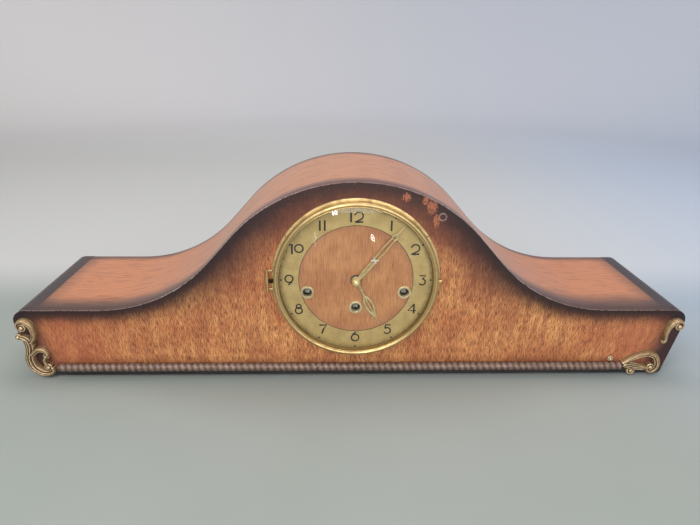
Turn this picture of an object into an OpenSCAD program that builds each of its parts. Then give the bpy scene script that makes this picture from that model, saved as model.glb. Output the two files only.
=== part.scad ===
// Mantel clock: hump-backed wooden case on a base board, round dial behind a hinged
// glazed bezel, and a three-train spring movement with pendulum, chime hammers and gong rods.
// +Z is up and the dial faces -Y. The origin is on the floor, under the middle of the clock.

/* [Case] */
// Width of the case across its rounded ends
case_w = 680; // [670:1:690]
// Depth of the case from front face to back edge
case_d = 150; // [148:1:156]
// Height of the hump above the floor
case_h = 207; // [205:1:210]
// Height of the flat wings above the floor
wing_h = 76; // [74:1:78]
// Radius of the hump
hump_r = 160; // [158:1:162]
// Radius of the hollow between hump and wing
hollow_r = 150; // [145:1:155]
// Steepest slope between hump and hollow, in degrees
slope = 48; // [46:1:49]
// Inward lean of the end walls, in degrees
end_lean = 13; // [10:1:14]
// Thickness of the front board
front_t = 9; // [8:0.5:10]
// Thickness of the bent top skin
skin_t = 6; // [5:0.5:7]

/* [Dial] */
// Height of the dial centre above the floor
dial_z = 110; // [109:0.5:111]
// Outer radius of the fixed bezel flange
flange_r = 82.5; // [82:0.5:84]
// Outer radius of the chapter ring
chapter_r = 76; // [75.5:0.1:76]
// Inner radius of the chapter ring
chapter_in = 56; // [55:0.5:58]
// Radius of the winding holes
wind_r = 4.5; // [4.4:0.1:4.6]
// Length of the hour hand
hour_len = 52; // [46:1:53]
// Length of the minute hand
minute_len = 72; // [66:1:72]

/* [Movement] */
// Sideways distance of the strike and chime arbors from the middle
side_x = 47.8; // [47.5:0.1:48]
// Drop of the strike and chime arbors below the dial centre
side_drop = 13.1; // [13:0.1:13.2]
// Drop of the going-train arbor below the dial centre
time_drop = 29.4; // [29.3:0.1:29.5]
// Length of the pendulum from its pivot to the middle of the bob
pendulum_len = 115; // [112:1:116]

/* [Gongs] */
// Number of gong rods and hammers
rod_count = 4; // [4:1:4]
// Radius of a gong rod
rod_r = 1.5; // [1.2:0.1:1.6]
// Length of the longest gong rod
rod_len = 270; // [200:5:290]

/* [Hidden] */
$fn = 64;

// Places along Y. The bezel stands in front of the case, so the case sits a little back.
front_y = -67;
back_y = front_y + case_d;
panel_back_y = front_y + front_t;
frame_t = 8;
frame_y = back_y - 6 - frame_t;
frame_back_y = frame_y + frame_t;

// Case outline
pad_h = 2;
base_top = 9;
toe_r = 4;
corner_r = 12;
cavity_x = 318;
hump_cz = case_h - hump_r;
hollow_cz = wing_h + hollow_r;
slope_run = (hump_cz + hump_r * cos(slope) - wing_h - hollow_r * (1 - cos(slope))) / sin(slope);
hollow_cx = (hump_r + hollow_r) * sin(slope) + slope_run * cos(slope);
corner_cx = case_w / 2 - corner_r;
corner_cz = wing_h - corner_r;
wall_reach = corner_cx * cos(end_lean) - corner_cz * sin(end_lean) + corner_r;
toe_cz = pad_h + toe_r;
toe_cx = (wall_reach - toe_r + toe_cz * sin(end_lean)) / cos(end_lean);

// Dial stack, from the case face forward
dial_hole_r = 72;
sheet_t = 1;
pan_front_y = front_y - sheet_t;
dial_y = pan_front_y - sheet_t;
flange_t = 2.2;
bezel_r = 80;
bezel_in = 75.1;
bezel_round = 3;
bezel_back_y = front_y - 2.5;
bezel_front_y = front_y - 10;
glass_r = 77.2;
rebate_r = glass_r + 0.15;
glass_t = 1.6;
glass_rise = 7.6;
glass_edge_y = front_y - 6.6;
lip_gap = 0.5;
lip_step = 0.6;
bezel_axis_x = -86.2;
bezel_axis_y = front_y - 5;
bezel_pin_r = 0.8;
hinge_half = 11;
knuckle_half = 6;
knuckle_r = 1.5;
grommet_r = 6.8;
grommet_wall = 0.9;
hub_hole_r = 4;

// Hands show six and a half minutes past five
minute_turn = 38.4;
hour_turn = 150 + minute_turn / 12;
hour_hand_y = front_y - 3.9;
minute_hand_y = front_y - 5.8;
hand_t = 0.7;
nut_r = 4.2;
nut_base = 0.9;

// Movement plates and the places of the arbors, as [x, z]
plate_t = 2;
plate_w = 150;
plate_low = 50;
plate_high = 168;
front_plate_y = front_y + 14;
back_plate_y = front_y + 62;
inner_front_y = front_plate_y + plate_t;
at_time = [0, dial_z - time_drop];
at_strike = [-side_x, dial_z - side_drop];
at_chime = [side_x, dial_z - side_drop];
at_centre = [0, dial_z];

// Tooth counts and modules. Each module follows from the distance between its two arbors.
time_teeth = 80;
centre_leaves = 10;
time_module = 2 * time_drop / (time_teeth + centre_leaves);
side_teeth = 72;
side_leaves = 9;
side_module = 0.6;
side_reach = side_module * (side_teeth + side_leaves) / 2;
side_angle = 65;
fly_wheel_teeth = 64;
fly_leaves = 8;
fly_module = 0.5;
fly_reach = fly_module * (fly_wheel_teeth + fly_leaves) / 2;
fly_angle = 120;
centre_teeth = 80;
third_leaves = 8;
third_reach = 18;
centre_module = 2 * third_reach / (centre_teeth + third_leaves);
third_teeth = 72;
escape_leaves = 6;
escape_reach = 15.3;
third_module = 2 * escape_reach / (third_teeth + escape_leaves);
escape_teeth = 44;
escape_r = 12;
cannon_leaves = 12;
minute_teeth = 36;
minute_leaves = 10;
hour_teeth = 40;
cannon_module = 0.52;
motion_reach = cannon_module * (cannon_leaves + minute_teeth) / 2;
hour_module = 2 * motion_reach / (minute_leaves + hour_teeth);
motion_angle = 150;

function polar(from, reach, angle) = [from[0] + reach * cos(angle), from[1] + reach * sin(angle)];
function bearing(from, to) = atan2(to[1] - from[1], to[0] - from[0]);

at_chime_wheel = polar(at_chime, side_reach, side_angle);
at_chime_fly = polar(at_chime_wheel, fly_reach, fly_angle);
at_strike_wheel = [-at_chime_wheel[0], at_chime_wheel[1]];
at_strike_fly = [-at_chime_fly[0], at_chime_fly[1]];
escape_rise = 31;
at_escape = [0, dial_z + escape_rise];
third_rise = (third_reach ^ 2 - escape_reach ^ 2 + escape_rise ^ 2) / (2 * escape_rise);
at_third = [sqrt(third_reach ^ 2 - third_rise ^ 2), dial_z + third_rise];
at_anchor = [0, at_escape[1] + 16.5];
at_minute = polar(at_centre, motion_reach, motion_angle);

// Planes of the wheels, each given by its back face
great_y = front_plate_y + 6.5;
great_t = 2.5;
drum_r = 19;
drum_back_y = great_y + 23.5;
second_y = back_plate_y - 12.5;
wheel_t = 1.4;
third_wheel_y = second_y - 9;
escape_y = back_plate_y - 6.5;
cannon_y = front_plate_y - 2.4;
hour_wheel_y = front_plate_y - 7.8;
ratchet_y = front_plate_y - 1.2;
ratchet_t = 2;
ratchet_r = 8.5;
ratchet_teeth = 18;

// Arbors and pivots
fit = 0.05;
arbor_r = 1.3;
pivot_r = 0.8;
wind_arbor_r = 3.5;
wind_square = 4.4;
wind_tip_y = front_y + 2.5;
centre_arbor_r = 1.6;
arbor_tip = 2.8;
cannon_pipe_r = 2.2;
hour_pipe_r = 3.1;
end_shake = 0.3;
arbor_back_y = back_plate_y - end_shake;
click_angles = [-35, 215, -35];
click_reach = 14;
click_stud_r = 1;
pivots = [at_third, at_escape, at_strike_wheel, at_strike_fly, at_chime_fly, at_chime_wheel, at_anchor];
winders = [at_time, at_strike, at_chime];
pillar_x = 68;
pillar_zs = [plate_low + 7, plate_high - 7];
pillar_r = 4;

// Gongs, hammers and pendulum
rod_z = 31;
rod_y0 = back_plate_y + 30;
rod_pitch = 9;
block_x = 104;
block_w = 22;
strike_x = 91;
at_hammer = [62, 68];
hammer_arbor_r = 1.5;
drum_pin_r = 15.5;
drum_length = 34;
pendulum_y = back_plate_y + plate_t + 14;
bob_r = 14;
bob_t = 8;

// Back door
door_w = 180;
door_low = 36;
door_high = 148;
door_gap = 0.8;
door_corner = 14;
door_t = 6;
door_axis_x = door_w / 2 + 0.5;
door_axis_y = frame_back_y + 1.5;
door_hinge_zs = [58, 126];
door_hinge_h = 24;
door_knuckle_r = 1.3;
catch_x = -door_w / 2 - 10;
catch_z = 92;

// ---------- helpers ----------

function arc(cx, cz, r, a0, a1, steps) = [
    for (i = [0:steps]) let (a = a0 + (a1 - a0) * i / steps) [cx + r * cos(a), cz + r * sin(a)]
];
function mirrored(points) = [for (i = [len(points) - 1:-1:0]) [-points[i][0], points[i][1]]];
function without_first(points) = [for (i = [1:len(points) - 1]) points[i]];
function reversed(points) = [for (i = [len(points) - 1:-1:0]) points[i]];

// Right half of the roof line from the top of the hump to the wing, moved inward by inset
function roof_half(inset) = concat(
    arc(0, hump_cz, hump_r - inset, 90, 90 - slope, 20),
    arc(hollow_cx, hollow_cz, hollow_r + inset, 270 - slope, 270, 18)
);
function roof(inset) = concat(mirrored(without_first(roof_half(inset))), roof_half(inset));
function wall_x(z) = (wall_reach + z * sin(end_lean)) / cos(end_lean);
function end_corner() = arc(corner_cx, corner_cz, corner_r, 90, -end_lean, 10);

// Draws a 2D shape in the XZ plane and gives it thickness forward from y = back
module slab(back, thick, at = [0, 0])
    translate([at[0], back, at[1]]) rotate([90, 0, 0]) linear_extrude(thick) children();

// A round bar along Y from y = back forward
module bar(back, length, r, at = [0, 0])
    translate([at[0], back, at[1]]) rotate([90, 0, 0]) cylinder(h = length, r = r);

module rounded_rect(w, h, r) polygon(concat(
    arc(w / 2 - r, h / 2 - r, r, 0, 90, 6),
    arc(r - w / 2, h / 2 - r, r, 90, 180, 6),
    arc(r - w / 2, r - h / 2, r, 180, 270, 6),
    arc(w / 2 - r, r - h / 2, r, 270, 360, 6)
));

// A ribbon of even width bent to an arc
module ribbon(at, r, a0, a1, w)
    polygon(concat(arc(at[0], at[1], r + w / 2, a0, a1, 14), arc(at[0], at[1], r - w / 2, a1, a0, 14)));

// Toothed outline: slim teeth with pointed tips, centred on angle 0
function toothed(teeth, module_size, addendum, dedendum, share) = [
    for (i = [0:teeth - 1], k = [0:5])
    let (
        pitch = 360 / teeth,
        r = module_size * teeth / 2,
        side = k < 3 ? -1 : 1,
        step = k < 3 ? k : 5 - k,
        radius = [r - dedendum * module_size, r, r + addendum * module_size][step],
        half = [share * 0.6, share * 0.5, share * 0.2][step] * pitch,
        a = i * pitch + side * half
    ) radius * [cos(a), sin(a)]
];
module wheel_shape(teeth, module_size) polygon(toothed(teeth, module_size, 0.8, 1.1, 0.36));
module pinion_shape(leaves, module_size) polygon(toothed(leaves, module_size, 0.6, 1.15, 0.3));

// A crossed-out wheel: rim, hub and four spokes
module crossed_wheel(back, thick, at, teeth, module_size, phase) {
    rim = module_size * teeth / 2 - 3.2 * module_size;
    hub = max(3.2, rim * 0.25);
    difference() {
        slab(back, thick, at) rotate(phase) wheel_shape(teeth, module_size);
        for (q = [0:3]) slab(back + 1, thick + 2, at) rotate(90 * q + 20) intersection() {
            difference() {
                circle(rim);
                circle(hub);
            }
            translate([1, 1]) square(rim);
        }
    }
}

// ---------- case ----------

module front_panel() color([0.62, 0.33, 0.17]) difference() {
    slab(panel_back_y, front_t) polygon(concat(
        [[-wall_x(base_top), base_top]],
        mirrored(end_corner()),
        roof(0),
        end_corner(),
        [[wall_x(base_top), base_top]]
    ));
    bar(panel_back_y + 1, front_t + 2, dial_hole_r, at_centre);
}

module top_skin() color([0.66, 0.42, 0.26])
    slab(back_y, case_d - front_t) polygon(concat(
        [[-cavity_x, wing_h]],
        roof(0),
        [[cavity_x, wing_h], [cavity_x, wing_h - skin_t]],
        reversed(roof(skin_t)),
        [[-cavity_x, wing_h - skin_t]]
    ));

module end_blocks() color([0.34, 0.19, 0.12])
    for (side = [0, 1]) mirror([side, 0, 0])
        slab(back_y, case_d - front_t) polygon(concat(
            [[cavity_x, base_top], [cavity_x, wing_h]],
            end_corner(),
            [[wall_x(base_top), base_top]]
        ));

module base_board() color([0.12, 0.08, 0.06])
    slab(back_y, case_d) polygon(concat(
        [[wall_x(base_top), base_top]],
        arc(toe_cx, toe_cz, toe_r, -end_lean, -90, 6),
        mirrored(arc(toe_cx, toe_cz, toe_r, -end_lean, -90, 6)),
        [[-wall_x(base_top), base_top]]
    ));

module back_frame() color([0.42, 0.25, 0.15]) difference() {
    slab(frame_back_y, frame_t) polygon(concat(
        [[-cavity_x, base_top], [-cavity_x, wing_h - skin_t]],
        roof(skin_t),
        [[cavity_x, wing_h - skin_t], [cavity_x, base_top]]
    ));
    slab(frame_back_y + 1, frame_t + 2, [0, (door_low + door_high) / 2])
        rounded_rect(door_w + 2 * door_gap, door_high - door_low + 2 * door_gap, door_corner + door_gap);
}

module foot_pads() color([0.16, 0.2, 0.15])
    for (x = [-290, 290], y = [front_y + 16, back_y - 16])
        translate([x, y, 0]) cylinder(h = pad_h, r = 9);

// ---------- back door ----------

module back_door() color([0.48, 0.3, 0.18]) difference() {
    slab(frame_back_y, door_t, [0, (door_low + door_high) / 2])
        rounded_rect(door_w, door_high - door_low, door_corner);
    for (i = [-3:3]) slab(frame_back_y + 1, door_t + 2, [i * 15, 92]) rounded_rect(6, 52, 2.8);
}

// The fixed leaves screw to the frame and carry the hinge pins
module door_hinge_leaves() color([0.7, 0.55, 0.3])
    for (z = door_hinge_zs) {
        translate([door_axis_x, door_axis_y, z]) cylinder(h = door_hinge_h, r = pivot_r, center = true);
        for (side = [-1, 1]) difference() {
            union() {
                translate([door_axis_x, door_axis_y, z + side * door_hinge_h / 3])
                    cylinder(h = door_hinge_h / 3, r = door_knuckle_r, center = true);
                translate([door_axis_x, frame_back_y, z + side * door_hinge_h / 3 - door_hinge_h / 6])
                    cube([11, 1, door_hinge_h / 3]);
            }
            translate([door_axis_x, door_axis_y, z])
                cylinder(h = door_hinge_h + 2, r = pivot_r, center = true);
        }
    }

module door_hinge_knuckles() color([0.7, 0.55, 0.3])
    for (z = door_hinge_zs) difference() {
        union() {
            translate([door_axis_x, door_axis_y, z])
                cylinder(h = door_hinge_h / 3 - 0.6, r = door_knuckle_r, center = true);
            translate([door_axis_x - 11, frame_back_y, z - door_hinge_h / 6 + 0.3])
                cube([11, 1, door_hinge_h / 3 - 0.6]);
        }
        translate([door_axis_x, door_axis_y, z])
            cylinder(h = door_hinge_h, r = pivot_r + fit, center = true);
    }

// Turn button beside the door, drawn upright and clear of it
module door_catch() color([0.74, 0.58, 0.3]) difference() {
    union() {
        slab(frame_back_y + 2.4, 2.1, [catch_x, catch_z]) hull() {
            circle(4);
            translate([0, 17]) circle(2.6);
        }
        bar(frame_back_y + 3, 2.7, 3, [catch_x, catch_z]);
    }
    bar(frame_back_y + 4, 4, 1.2 + fit, [catch_x, catch_z]);
}

// ---------- gilt mounts ----------

mount_t = 6;

// Smooth curve value through four neighbours, at fraction t between the middle two
function blend(p0, p1, p2, p3, t) = p1 + (p2 - p0) * t / 2
    + (2 * p0 - 5 * p1 + 4 * p2 - p3) * t ^ 2 / 2
    + (3 * p1 - p0 - 3 * p2 + p3) * t ^ 3 / 2;
function clamped(points, i) = points[max(0, min(len(points) - 1, i))];
stroke_steps = 5;
// Smooth [x, z, width] line through the given ones
function smooth(points) = [
    for (i = [0:len(points) - 2], k = [0:stroke_steps - (i == len(points) - 2 ? 0 : 1)])
        blend(clamped(points, i - 1), points[i], points[i + 1], clamped(points, i + 2), k / stroke_steps)
];
function edge_point(line, i, side) = let (
    a = clamped(line, i - 1),
    b = clamped(line, i + 1),
    run = norm([b[0] - a[0], b[1] - a[1]])
) [
    line[i][0] - side * (b[1] - a[1]) / run * line[i][2] / 2,
    line[i][1] + side * (b[0] - a[0]) / run * line[i][2] / 2
];

// A stroke of swelling width along a smooth curve; each point is [x, z, width]
module stroke(points) {
    line = smooth(points);
    polygon(concat(
        [for (i = [0:len(line) - 1]) edge_point(line, i, 1)],
        [for (i = [len(line) - 1:-1:0]) edge_point(line, i, -1)]
    ));
}

module scroll(points) slab(front_y, mount_t) stroke(points);
module boss(at, r) bar(front_y, mount_t, r, at);

// Small C-scroll with a bud above a leaf that sweeps down into a large open C-scroll
module left_corner_mount() color([0.66, 0.56, 0.38]) {
    boss([-331.4, 58.6], 4.6);
    scroll([[-335.2, 58, 4.2], [-335, 63.2, 5], [-329.8, 65.4, 6.4], [-323.6, 61.4, 7.4],
        [-321.2, 54.6, 7], [-321.6, 48, 6.4], [-325.5, 41.6, 5.6]]);
    boss([-336.4, 48.6], 3.7);
    scroll([[-336.6, 48.6, 3.8], [-332.6, 48, 5.4], [-329, 44.6, 8.6], [-327.6, 38.5, 10.6],
        [-328.4, 31, 10], [-330.2, 23, 10.8], [-328, 13.4, 11], [-321.6, 7.4, 9.8],
        [-314.4, 6, 8], [-309, 9.2, 6], [-309.4, 13.6, 5]]);
    boss([-312.9, 13.6], 4.4);
    scroll([[-327, 28, 6.6], [-321, 33, 6.4], [-315, 33, 6.6], [-311.8, 29.2, 5.6], [-312.4, 26.2, 4.6]]);
    boss([-313, 26.4], 3.4);
    scroll([[-313.4, 26, 3.8], [-315.8, 21.8, 4.2], [-314, 15, 4.6]]);
}

// The middle of this mount has broken away: an upper scroll with a stub, a lower loop by the
// bead's end, and a bud above the bead
module right_corner_mount() color([0.66, 0.56, 0.38]) {
    boss([333.2, 59], 4.6);
    scroll([[336, 57.8, 3.8], [335.8, 62.6, 5], [331.2, 64.6, 6.2], [325.6, 61.4, 7],
        [322.4, 55.6, 6.6], [321.4, 49.6, 6], [322, 42.4, 4.8]]);
    boss([321.8, 41], 3);
    scroll([[281.6, 15.6, 5], [290, 20.6, 6.4], [298.8, 24.8, 7.4], [307.6, 26.6, 7.6], [315.2, 23.8, 8],
        [319.2, 17, 8], [318.8, 9.8, 7.4], [314, 5.8, 6.6], [309.6, 8, 5.2], [310.2, 11, 4.4]]);
    boss([312.4, 11], 4.4);
    boss([292.6, 6.6], 4.8);
    scroll([[283, 13.4, 5.2], [289, 13, 9.6], [296, 11.6, 9.4], [303, 10.4, 8], [310, 9.6, 6]]);
    boss([268.5, 20.8], 3.2);
}

// Half-round bead along the foot of the front
rope_r = 4.4;
rope_z = 13;
rope_sink = 0.9;
rope_from = -302;
rope_to = 279.7;
module rope_moulding() color([0.7, 0.58, 0.47])
    translate([rope_from, 0, 0]) rotate([90, 0, 90]) linear_extrude(rope_to - rope_from) intersection() {
        translate([front_y - rope_r + rope_sink, rope_z]) circle(rope_r);
        translate([front_y - 20, 0]) square([20, 40]);
    }

// ---------- dial and bezel ----------

module washer(back, thick, outer, inner) difference() {
    bar(back, thick, outer, at_centre);
    bar(back + 1, thick + 2, inner, at_centre);
}

// Flat ring nailed to the case front, with the two fixed knuckles of the bezel hinge
module bezel_flange() color([0.72, 0.6, 0.33]) difference() {
    union() {
        washer(front_y, flange_t, flange_r, chapter_r + 0.2);
        for (side = [0, 1]) translate([0, 0, dial_z]) mirror([0, 0, side]) {
            translate([bezel_axis_x, bezel_axis_y, knuckle_half + 0.3])
                cylinder(h = hinge_half - knuckle_half - 0.3, r = knuckle_r);
            translate([bezel_axis_x - knuckle_r, bezel_axis_y, knuckle_half + 0.3])
                cube([2 * knuckle_r, front_y - bezel_axis_y, hinge_half - knuckle_half - 0.3]);
            translate([bezel_axis_x, front_y - flange_t, knuckle_half + 0.3])
                cube([5, flange_t, hinge_half - knuckle_half - 0.3]);
        }
    }
    translate([bezel_axis_x, bezel_axis_y, dial_z])
        cylinder(h = 2 * hinge_half + 2, r = bezel_pin_r, center = true);
}

module bezel_hinge_pin() color([0.75, 0.62, 0.35])
    translate([bezel_axis_x, bezel_axis_y, dial_z])
        cylinder(h = 2 * hinge_half + 1, r = bezel_pin_r, center = true);

// Rounded ring with a groove for the glass, a hinge leaf on one side and a thumb tab on the other
module bezel_ring() color([0.86, 0.7, 0.36]) difference() {
    union() {
        translate([0, 0, dial_z]) rotate([90, 0, 0]) rotate_extrude() polygon(concat(
            [[bezel_in, -bezel_back_y], [bezel_r, -bezel_back_y]],
            arc(bezel_r - bezel_round, -bezel_front_y - bezel_round, bezel_round, 0, 90, 8),
            [[bezel_in, -bezel_front_y - lip_step], [bezel_in, glass_t - glass_edge_y + lip_gap],
            [rebate_r, glass_t - glass_edge_y + 0.1], [rebate_r, -glass_edge_y], [bezel_in, -glass_edge_y]]
        ));
        translate([bezel_axis_x, bezel_axis_y, dial_z])
            cylinder(h = 2 * knuckle_half, r = knuckle_r, center = true);
        translate([bezel_axis_x, bezel_axis_y - 0.6, dial_z - knuckle_half])
            cube([abs(bezel_axis_x) - bezel_r + 1.6, 1.2, 2 * knuckle_half]);
        translate([bezel_r - 1, bezel_back_y - 4, dial_z - 1.5]) cube([5, 2.4, 3]);
    }
    translate([bezel_axis_x, bezel_axis_y, dial_z])
        cylinder(h = 2 * hinge_half, r = bezel_pin_r + fit, center = true);
}

// Domed glass, a shallow cap of even thickness
module bezel_glass() color([0.85, 0.92, 0.95, 0.3]) {
    dome_r = (glass_r ^ 2 + glass_rise ^ 2) / (2 * glass_rise);
    edge = asin(glass_r / dome_r);
    translate([0, 0, dial_z]) rotate([90, 0, 0]) rotate_extrude() polygon(concat(
        [for (i = [0:12]) let (a = edge * (1 - i / 12))
            [dome_r * sin(a), glass_t - glass_edge_y + glass_rise - dome_r * (1 - cos(a))]],
        [for (i = [0:12]) let (a = edge * i / 12)
            [dome_r * sin(a), -glass_edge_y + glass_rise - dome_r * (1 - cos(a))]]
    ));
}

module winding_holes(r, back, thick) for (at = winders) bar(back, thick, r, at);

module dial_pan() color([0.7, 0.62, 0.45]) difference() {
    bar(front_y, sheet_t, chapter_r, at_centre);
    bar(front_y + 1, sheet_t + 2, hub_hole_r, at_centre);
    winding_holes(wind_r + grommet_wall, front_y + 1, sheet_t + 2);
}

module chapter_ring() color([0.72, 0.62, 0.38]) washer(pan_front_y, sheet_t, chapter_r, chapter_in);

module dial_centre() color([0.6, 0.36, 0.24]) difference() {
    bar(pan_front_y, sheet_t, chapter_in - 0.1, at_centre);
    bar(pan_front_y + 1, sheet_t + 2, hub_hole_r, at_centre);
    winding_holes(wind_r + grommet_wall, pan_front_y + 1, sheet_t + 2);
}

// Flanged brass eyelets that line the winding holes
module winding_grommets() color([0.78, 0.74, 0.66])
    for (at = winders) translate([at[0], dial_y, at[1]]) rotate([90, 0, 0]) rotate_extrude() polygon([
        [wind_r, -4], [wind_r + grommet_wall, -4], [wind_r + grommet_wall, 0],
        [grommet_r, 0], [grommet_r - 0.5, 0.9], [wind_r + 0.6, 1.1], [wind_r, 0.6]
    ]);

// ---------- hands ----------

// Leaf-shaped outline from radius r0 to r1 along +Y, widest beyond its middle
function leaf(r0, r1, w) = concat(
    [for (i = [0:14]) let (t = i / 14) [w / 2 * sin(180 * t ^ 1.3), r0 + (r1 - r0) * t]],
    [for (i = [13:-1:1]) let (t = i / 14) [-w / 2 * sin(180 * t ^ 1.3), r0 + (r1 - r0) * t]]
);

module hand_shape(length, hub, bore, leaf_from, leaf_to, leaf_w, rib) difference() {
    union() {
        circle(hub);
        translate([-0.9, 0]) square([1.8, leaf_from + 2]);
        difference() {
            polygon(leaf(leaf_from, leaf_to, leaf_w));
            polygon(leaf(leaf_from + 2, leaf_to - 2.5, leaf_w - 2 * rib));
        }
        translate([-leaf_w / 2 + 0.3, (leaf_from + 2 * leaf_to) / 3]) square([leaf_w - 0.6, 1.1]);
        polygon([[-0.9, leaf_to - 3], [0.9, leaf_to - 3], [0.35, length], [-0.35, length]]);
    }
    circle(bore);
}

module hour_hand() color([0.6, 0.48, 0.26])
    slab(hour_hand_y, hand_t, at_centre) rotate(-hour_turn)
        hand_shape(hour_len, 4.6, hour_pipe_r, 18, hour_len - 8, 8.6, 1.3);

module minute_hand() color([0.62, 0.5, 0.28])
    slab(minute_hand_y, hand_t, at_centre) rotate(-minute_turn)
        hand_shape(minute_len, 3.8, centre_arbor_r, 12, minute_len - 12, 6.6, 1.3);

module hand_nut() color([0.85, 0.72, 0.42]) difference() {
    translate([0, minute_hand_y - hand_t, dial_z]) rotate([90, 0, 0]) rotate_extrude()
        polygon(concat([[0, 0], [nut_r, 0]], arc(0, nut_base, nut_r, 0, 90, 8)));
    bar(minute_hand_y, arbor_tip + 0.1, centre_arbor_r, at_centre);
}

// ---------- movement frame ----------

module plate_blank(back) slab(back, plate_t, [0, (plate_low + plate_high) / 2])
    rounded_rect(plate_w, plate_high - plate_low, 6);

module front_plate() color([0.8, 0.68, 0.36]) {
    difference() {
        plate_blank(inner_front_y);
        bar(inner_front_y + 1, plate_t + 2, centre_arbor_r + fit, at_centre);
        for (at = winders) bar(inner_front_y + 1, plate_t + 2, wind_arbor_r - 0.5 + fit, at);
        for (at = pivots) bar(inner_front_y + 1, plate_t + 2, pivot_r + fit, at);
    }
    for (i = [0:2])
        bar(front_plate_y, 3.6, click_stud_r, polar(winders[i], click_reach, click_angles[i]));
    bar(front_plate_y, 11.2, click_stud_r, at_minute);
}

module back_plate() color([0.8, 0.68, 0.36]) difference() {
    plate_blank(back_plate_y + plate_t);
    bar(back_plate_y + plate_t + 1, plate_t + 2, centre_arbor_r - 0.4 + fit, at_centre);
    for (at = winders) bar(back_plate_y + plate_t + 1, plate_t + 2, wind_arbor_r - 0.5 + fit, at);
    for (at = pivots) bar(back_plate_y + plate_t + 1, plate_t + 2, pivot_r + fit, at);
    bar(back_plate_y + plate_t + 1, plate_t + 2, arbor_r + fit, at_chime_wheel);
    bar(back_plate_y + plate_t + 1, plate_t + 2, 2.6, at_anchor);
}

module plate_pillars() color([0.78, 0.64, 0.32])
    for (x = [-pillar_x, pillar_x], z = pillar_zs)
        bar(back_plate_y, back_plate_y - inner_front_y, pillar_r, [x, z]);

// Wooden packing blocks between the front board and the front plate
module movement_feet() color([0.4, 0.28, 0.18])
    for (x = [-pillar_x, pillar_x], z = pillar_zs)
        translate([x - 7, panel_back_y, z - 7]) cube([14, front_plate_y - panel_back_y, 14]);

module case_screws() color([0.62, 0.6, 0.56]) {
    for (x = [-pillar_x, pillar_x], z = pillar_zs)
        translate([x, back_plate_y + plate_t, z]) rotate([-90, 0, 0]) cylinder(h = 3, r = 4.6, $fn = 6);
    for (z = door_hinge_zs, side = [-1, 1])
        bar(frame_back_y + 1.8, 0.8, 1.8, [door_axis_x + 7, z + side * door_hinge_h / 3]);
    bar(frame_back_y + 3.1, 3.1, 1.2, [catch_x, catch_z]);
    bar(frame_back_y + 4.3, 1.2, 2.4, [catch_x, catch_z]);
}

// ---------- barrels, winding arbors and clicks ----------

// Wound mainspring: a strip coiled from the arbor out to the drum wall
module mainspring(at) {
    turns = 6;
    steps = 16;
    function coil(i, side) = let (t = i / (turns * steps), r = 5 + (drum_r - 7.5) * t + side * 0.3)
        r * [cos(360 * turns * t), sin(360 * turns * t)];
    slab(drum_back_y - 2.2, drum_back_y - great_y - 3, at) polygon(concat(
        [for (i = [0:turns * steps]) coil(i, 1)],
        [for (i = [turns * steps:-1:0]) coil(i, -1)]
    ));
}

module barrel(at, teeth, module_size, phase) {
    difference() {
        union() {
            slab(great_y, great_t, at) rotate(phase) wheel_shape(teeth, module_size);
            bar(drum_back_y, drum_back_y - great_y, drum_r, at);
        }
        bar(drum_back_y - 1.5, drum_back_y - great_y - 1.5, drum_r - 1, at);
        bar(drum_back_y + 1, 40, wind_arbor_r + fit, at);
    }
    mainspring(at);
}

module time_barrel() color([0.8, 0.66, 0.34])
    barrel(at_time, time_teeth, time_module, bearing(at_time, at_centre));
module strike_barrel() color([0.8, 0.66, 0.34])
    barrel(at_strike, side_teeth, side_module, bearing(at_strike, at_strike_wheel));
module chime_barrel() color([0.8, 0.66, 0.34])
    barrel(at_chime, side_teeth, side_module, bearing(at_chime, at_chime_wheel));

function saw(teeth, tip, root) = [
    for (i = [0:teeth - 1], k = [0:1]) (k == 0 ? tip : root) * [cos((i + 0.12 * k) * 360 / teeth),
        sin((i + 0.12 * k) * 360 / teeth)]
];

// Arbor with a square front end for the key and its ratchet wheel
module winding_arbor(at) {
    bar(arbor_back_y, arbor_back_y - inner_front_y - end_shake, wind_arbor_r, at);
    bar(back_plate_y + plate_t, plate_t + 1, wind_arbor_r - 0.5, at);
    bar(inner_front_y + 1, plate_t + 2, wind_arbor_r - 0.5, at);
    slab(ratchet_y, ratchet_t, at) polygon(saw(ratchet_teeth, ratchet_r, ratchet_r - 1.3));
    slab(front_plate_y - end_shake, front_plate_y - end_shake - wind_tip_y, at)
        square(wind_square, center = true);
}

module time_winding_arbor() color([0.55, 0.55, 0.55]) winding_arbor(at_time);
module strike_winding_arbor() color([0.55, 0.55, 0.55]) winding_arbor(at_strike);
module chime_winding_arbor() color([0.55, 0.55, 0.55]) winding_arbor(at_chime);

// Pawl resting just clear of the ratchet teeth
module click(i) {
    pivot = polar(winders[i], click_reach, click_angles[i]);
    tip = polar(winders[i], ratchet_r + 0.4, click_angles[i] + 38);
    along = bearing(pivot, tip);
    slab(ratchet_y, ratchet_t) difference() {
        union() {
            translate(pivot) circle(2.4);
            polygon([polar(pivot, 2.2, along + 90), polar(pivot, 2.2, along - 90), tip]);
        }
        translate(pivot) circle(click_stud_r + fit);
    }
}

module time_click() color([0.5, 0.5, 0.52]) click(0);
module strike_click() color([0.5, 0.5, 0.52]) click(1);
module chime_click() color([0.5, 0.5, 0.52]) click(2);

module click_springs() color([0.45, 0.47, 0.5]) for (i = [0:2]) {
    slab(ratchet_y, 1.2) ribbon(winders[i], 12, click_angles[i] + 60, click_angles[i] + 120, 0.6);
    bar(front_plate_y, 2.6, 1.5, polar(winders[i], 12, click_angles[i] + 120));
}

// ---------- going train and motion work ----------

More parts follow.
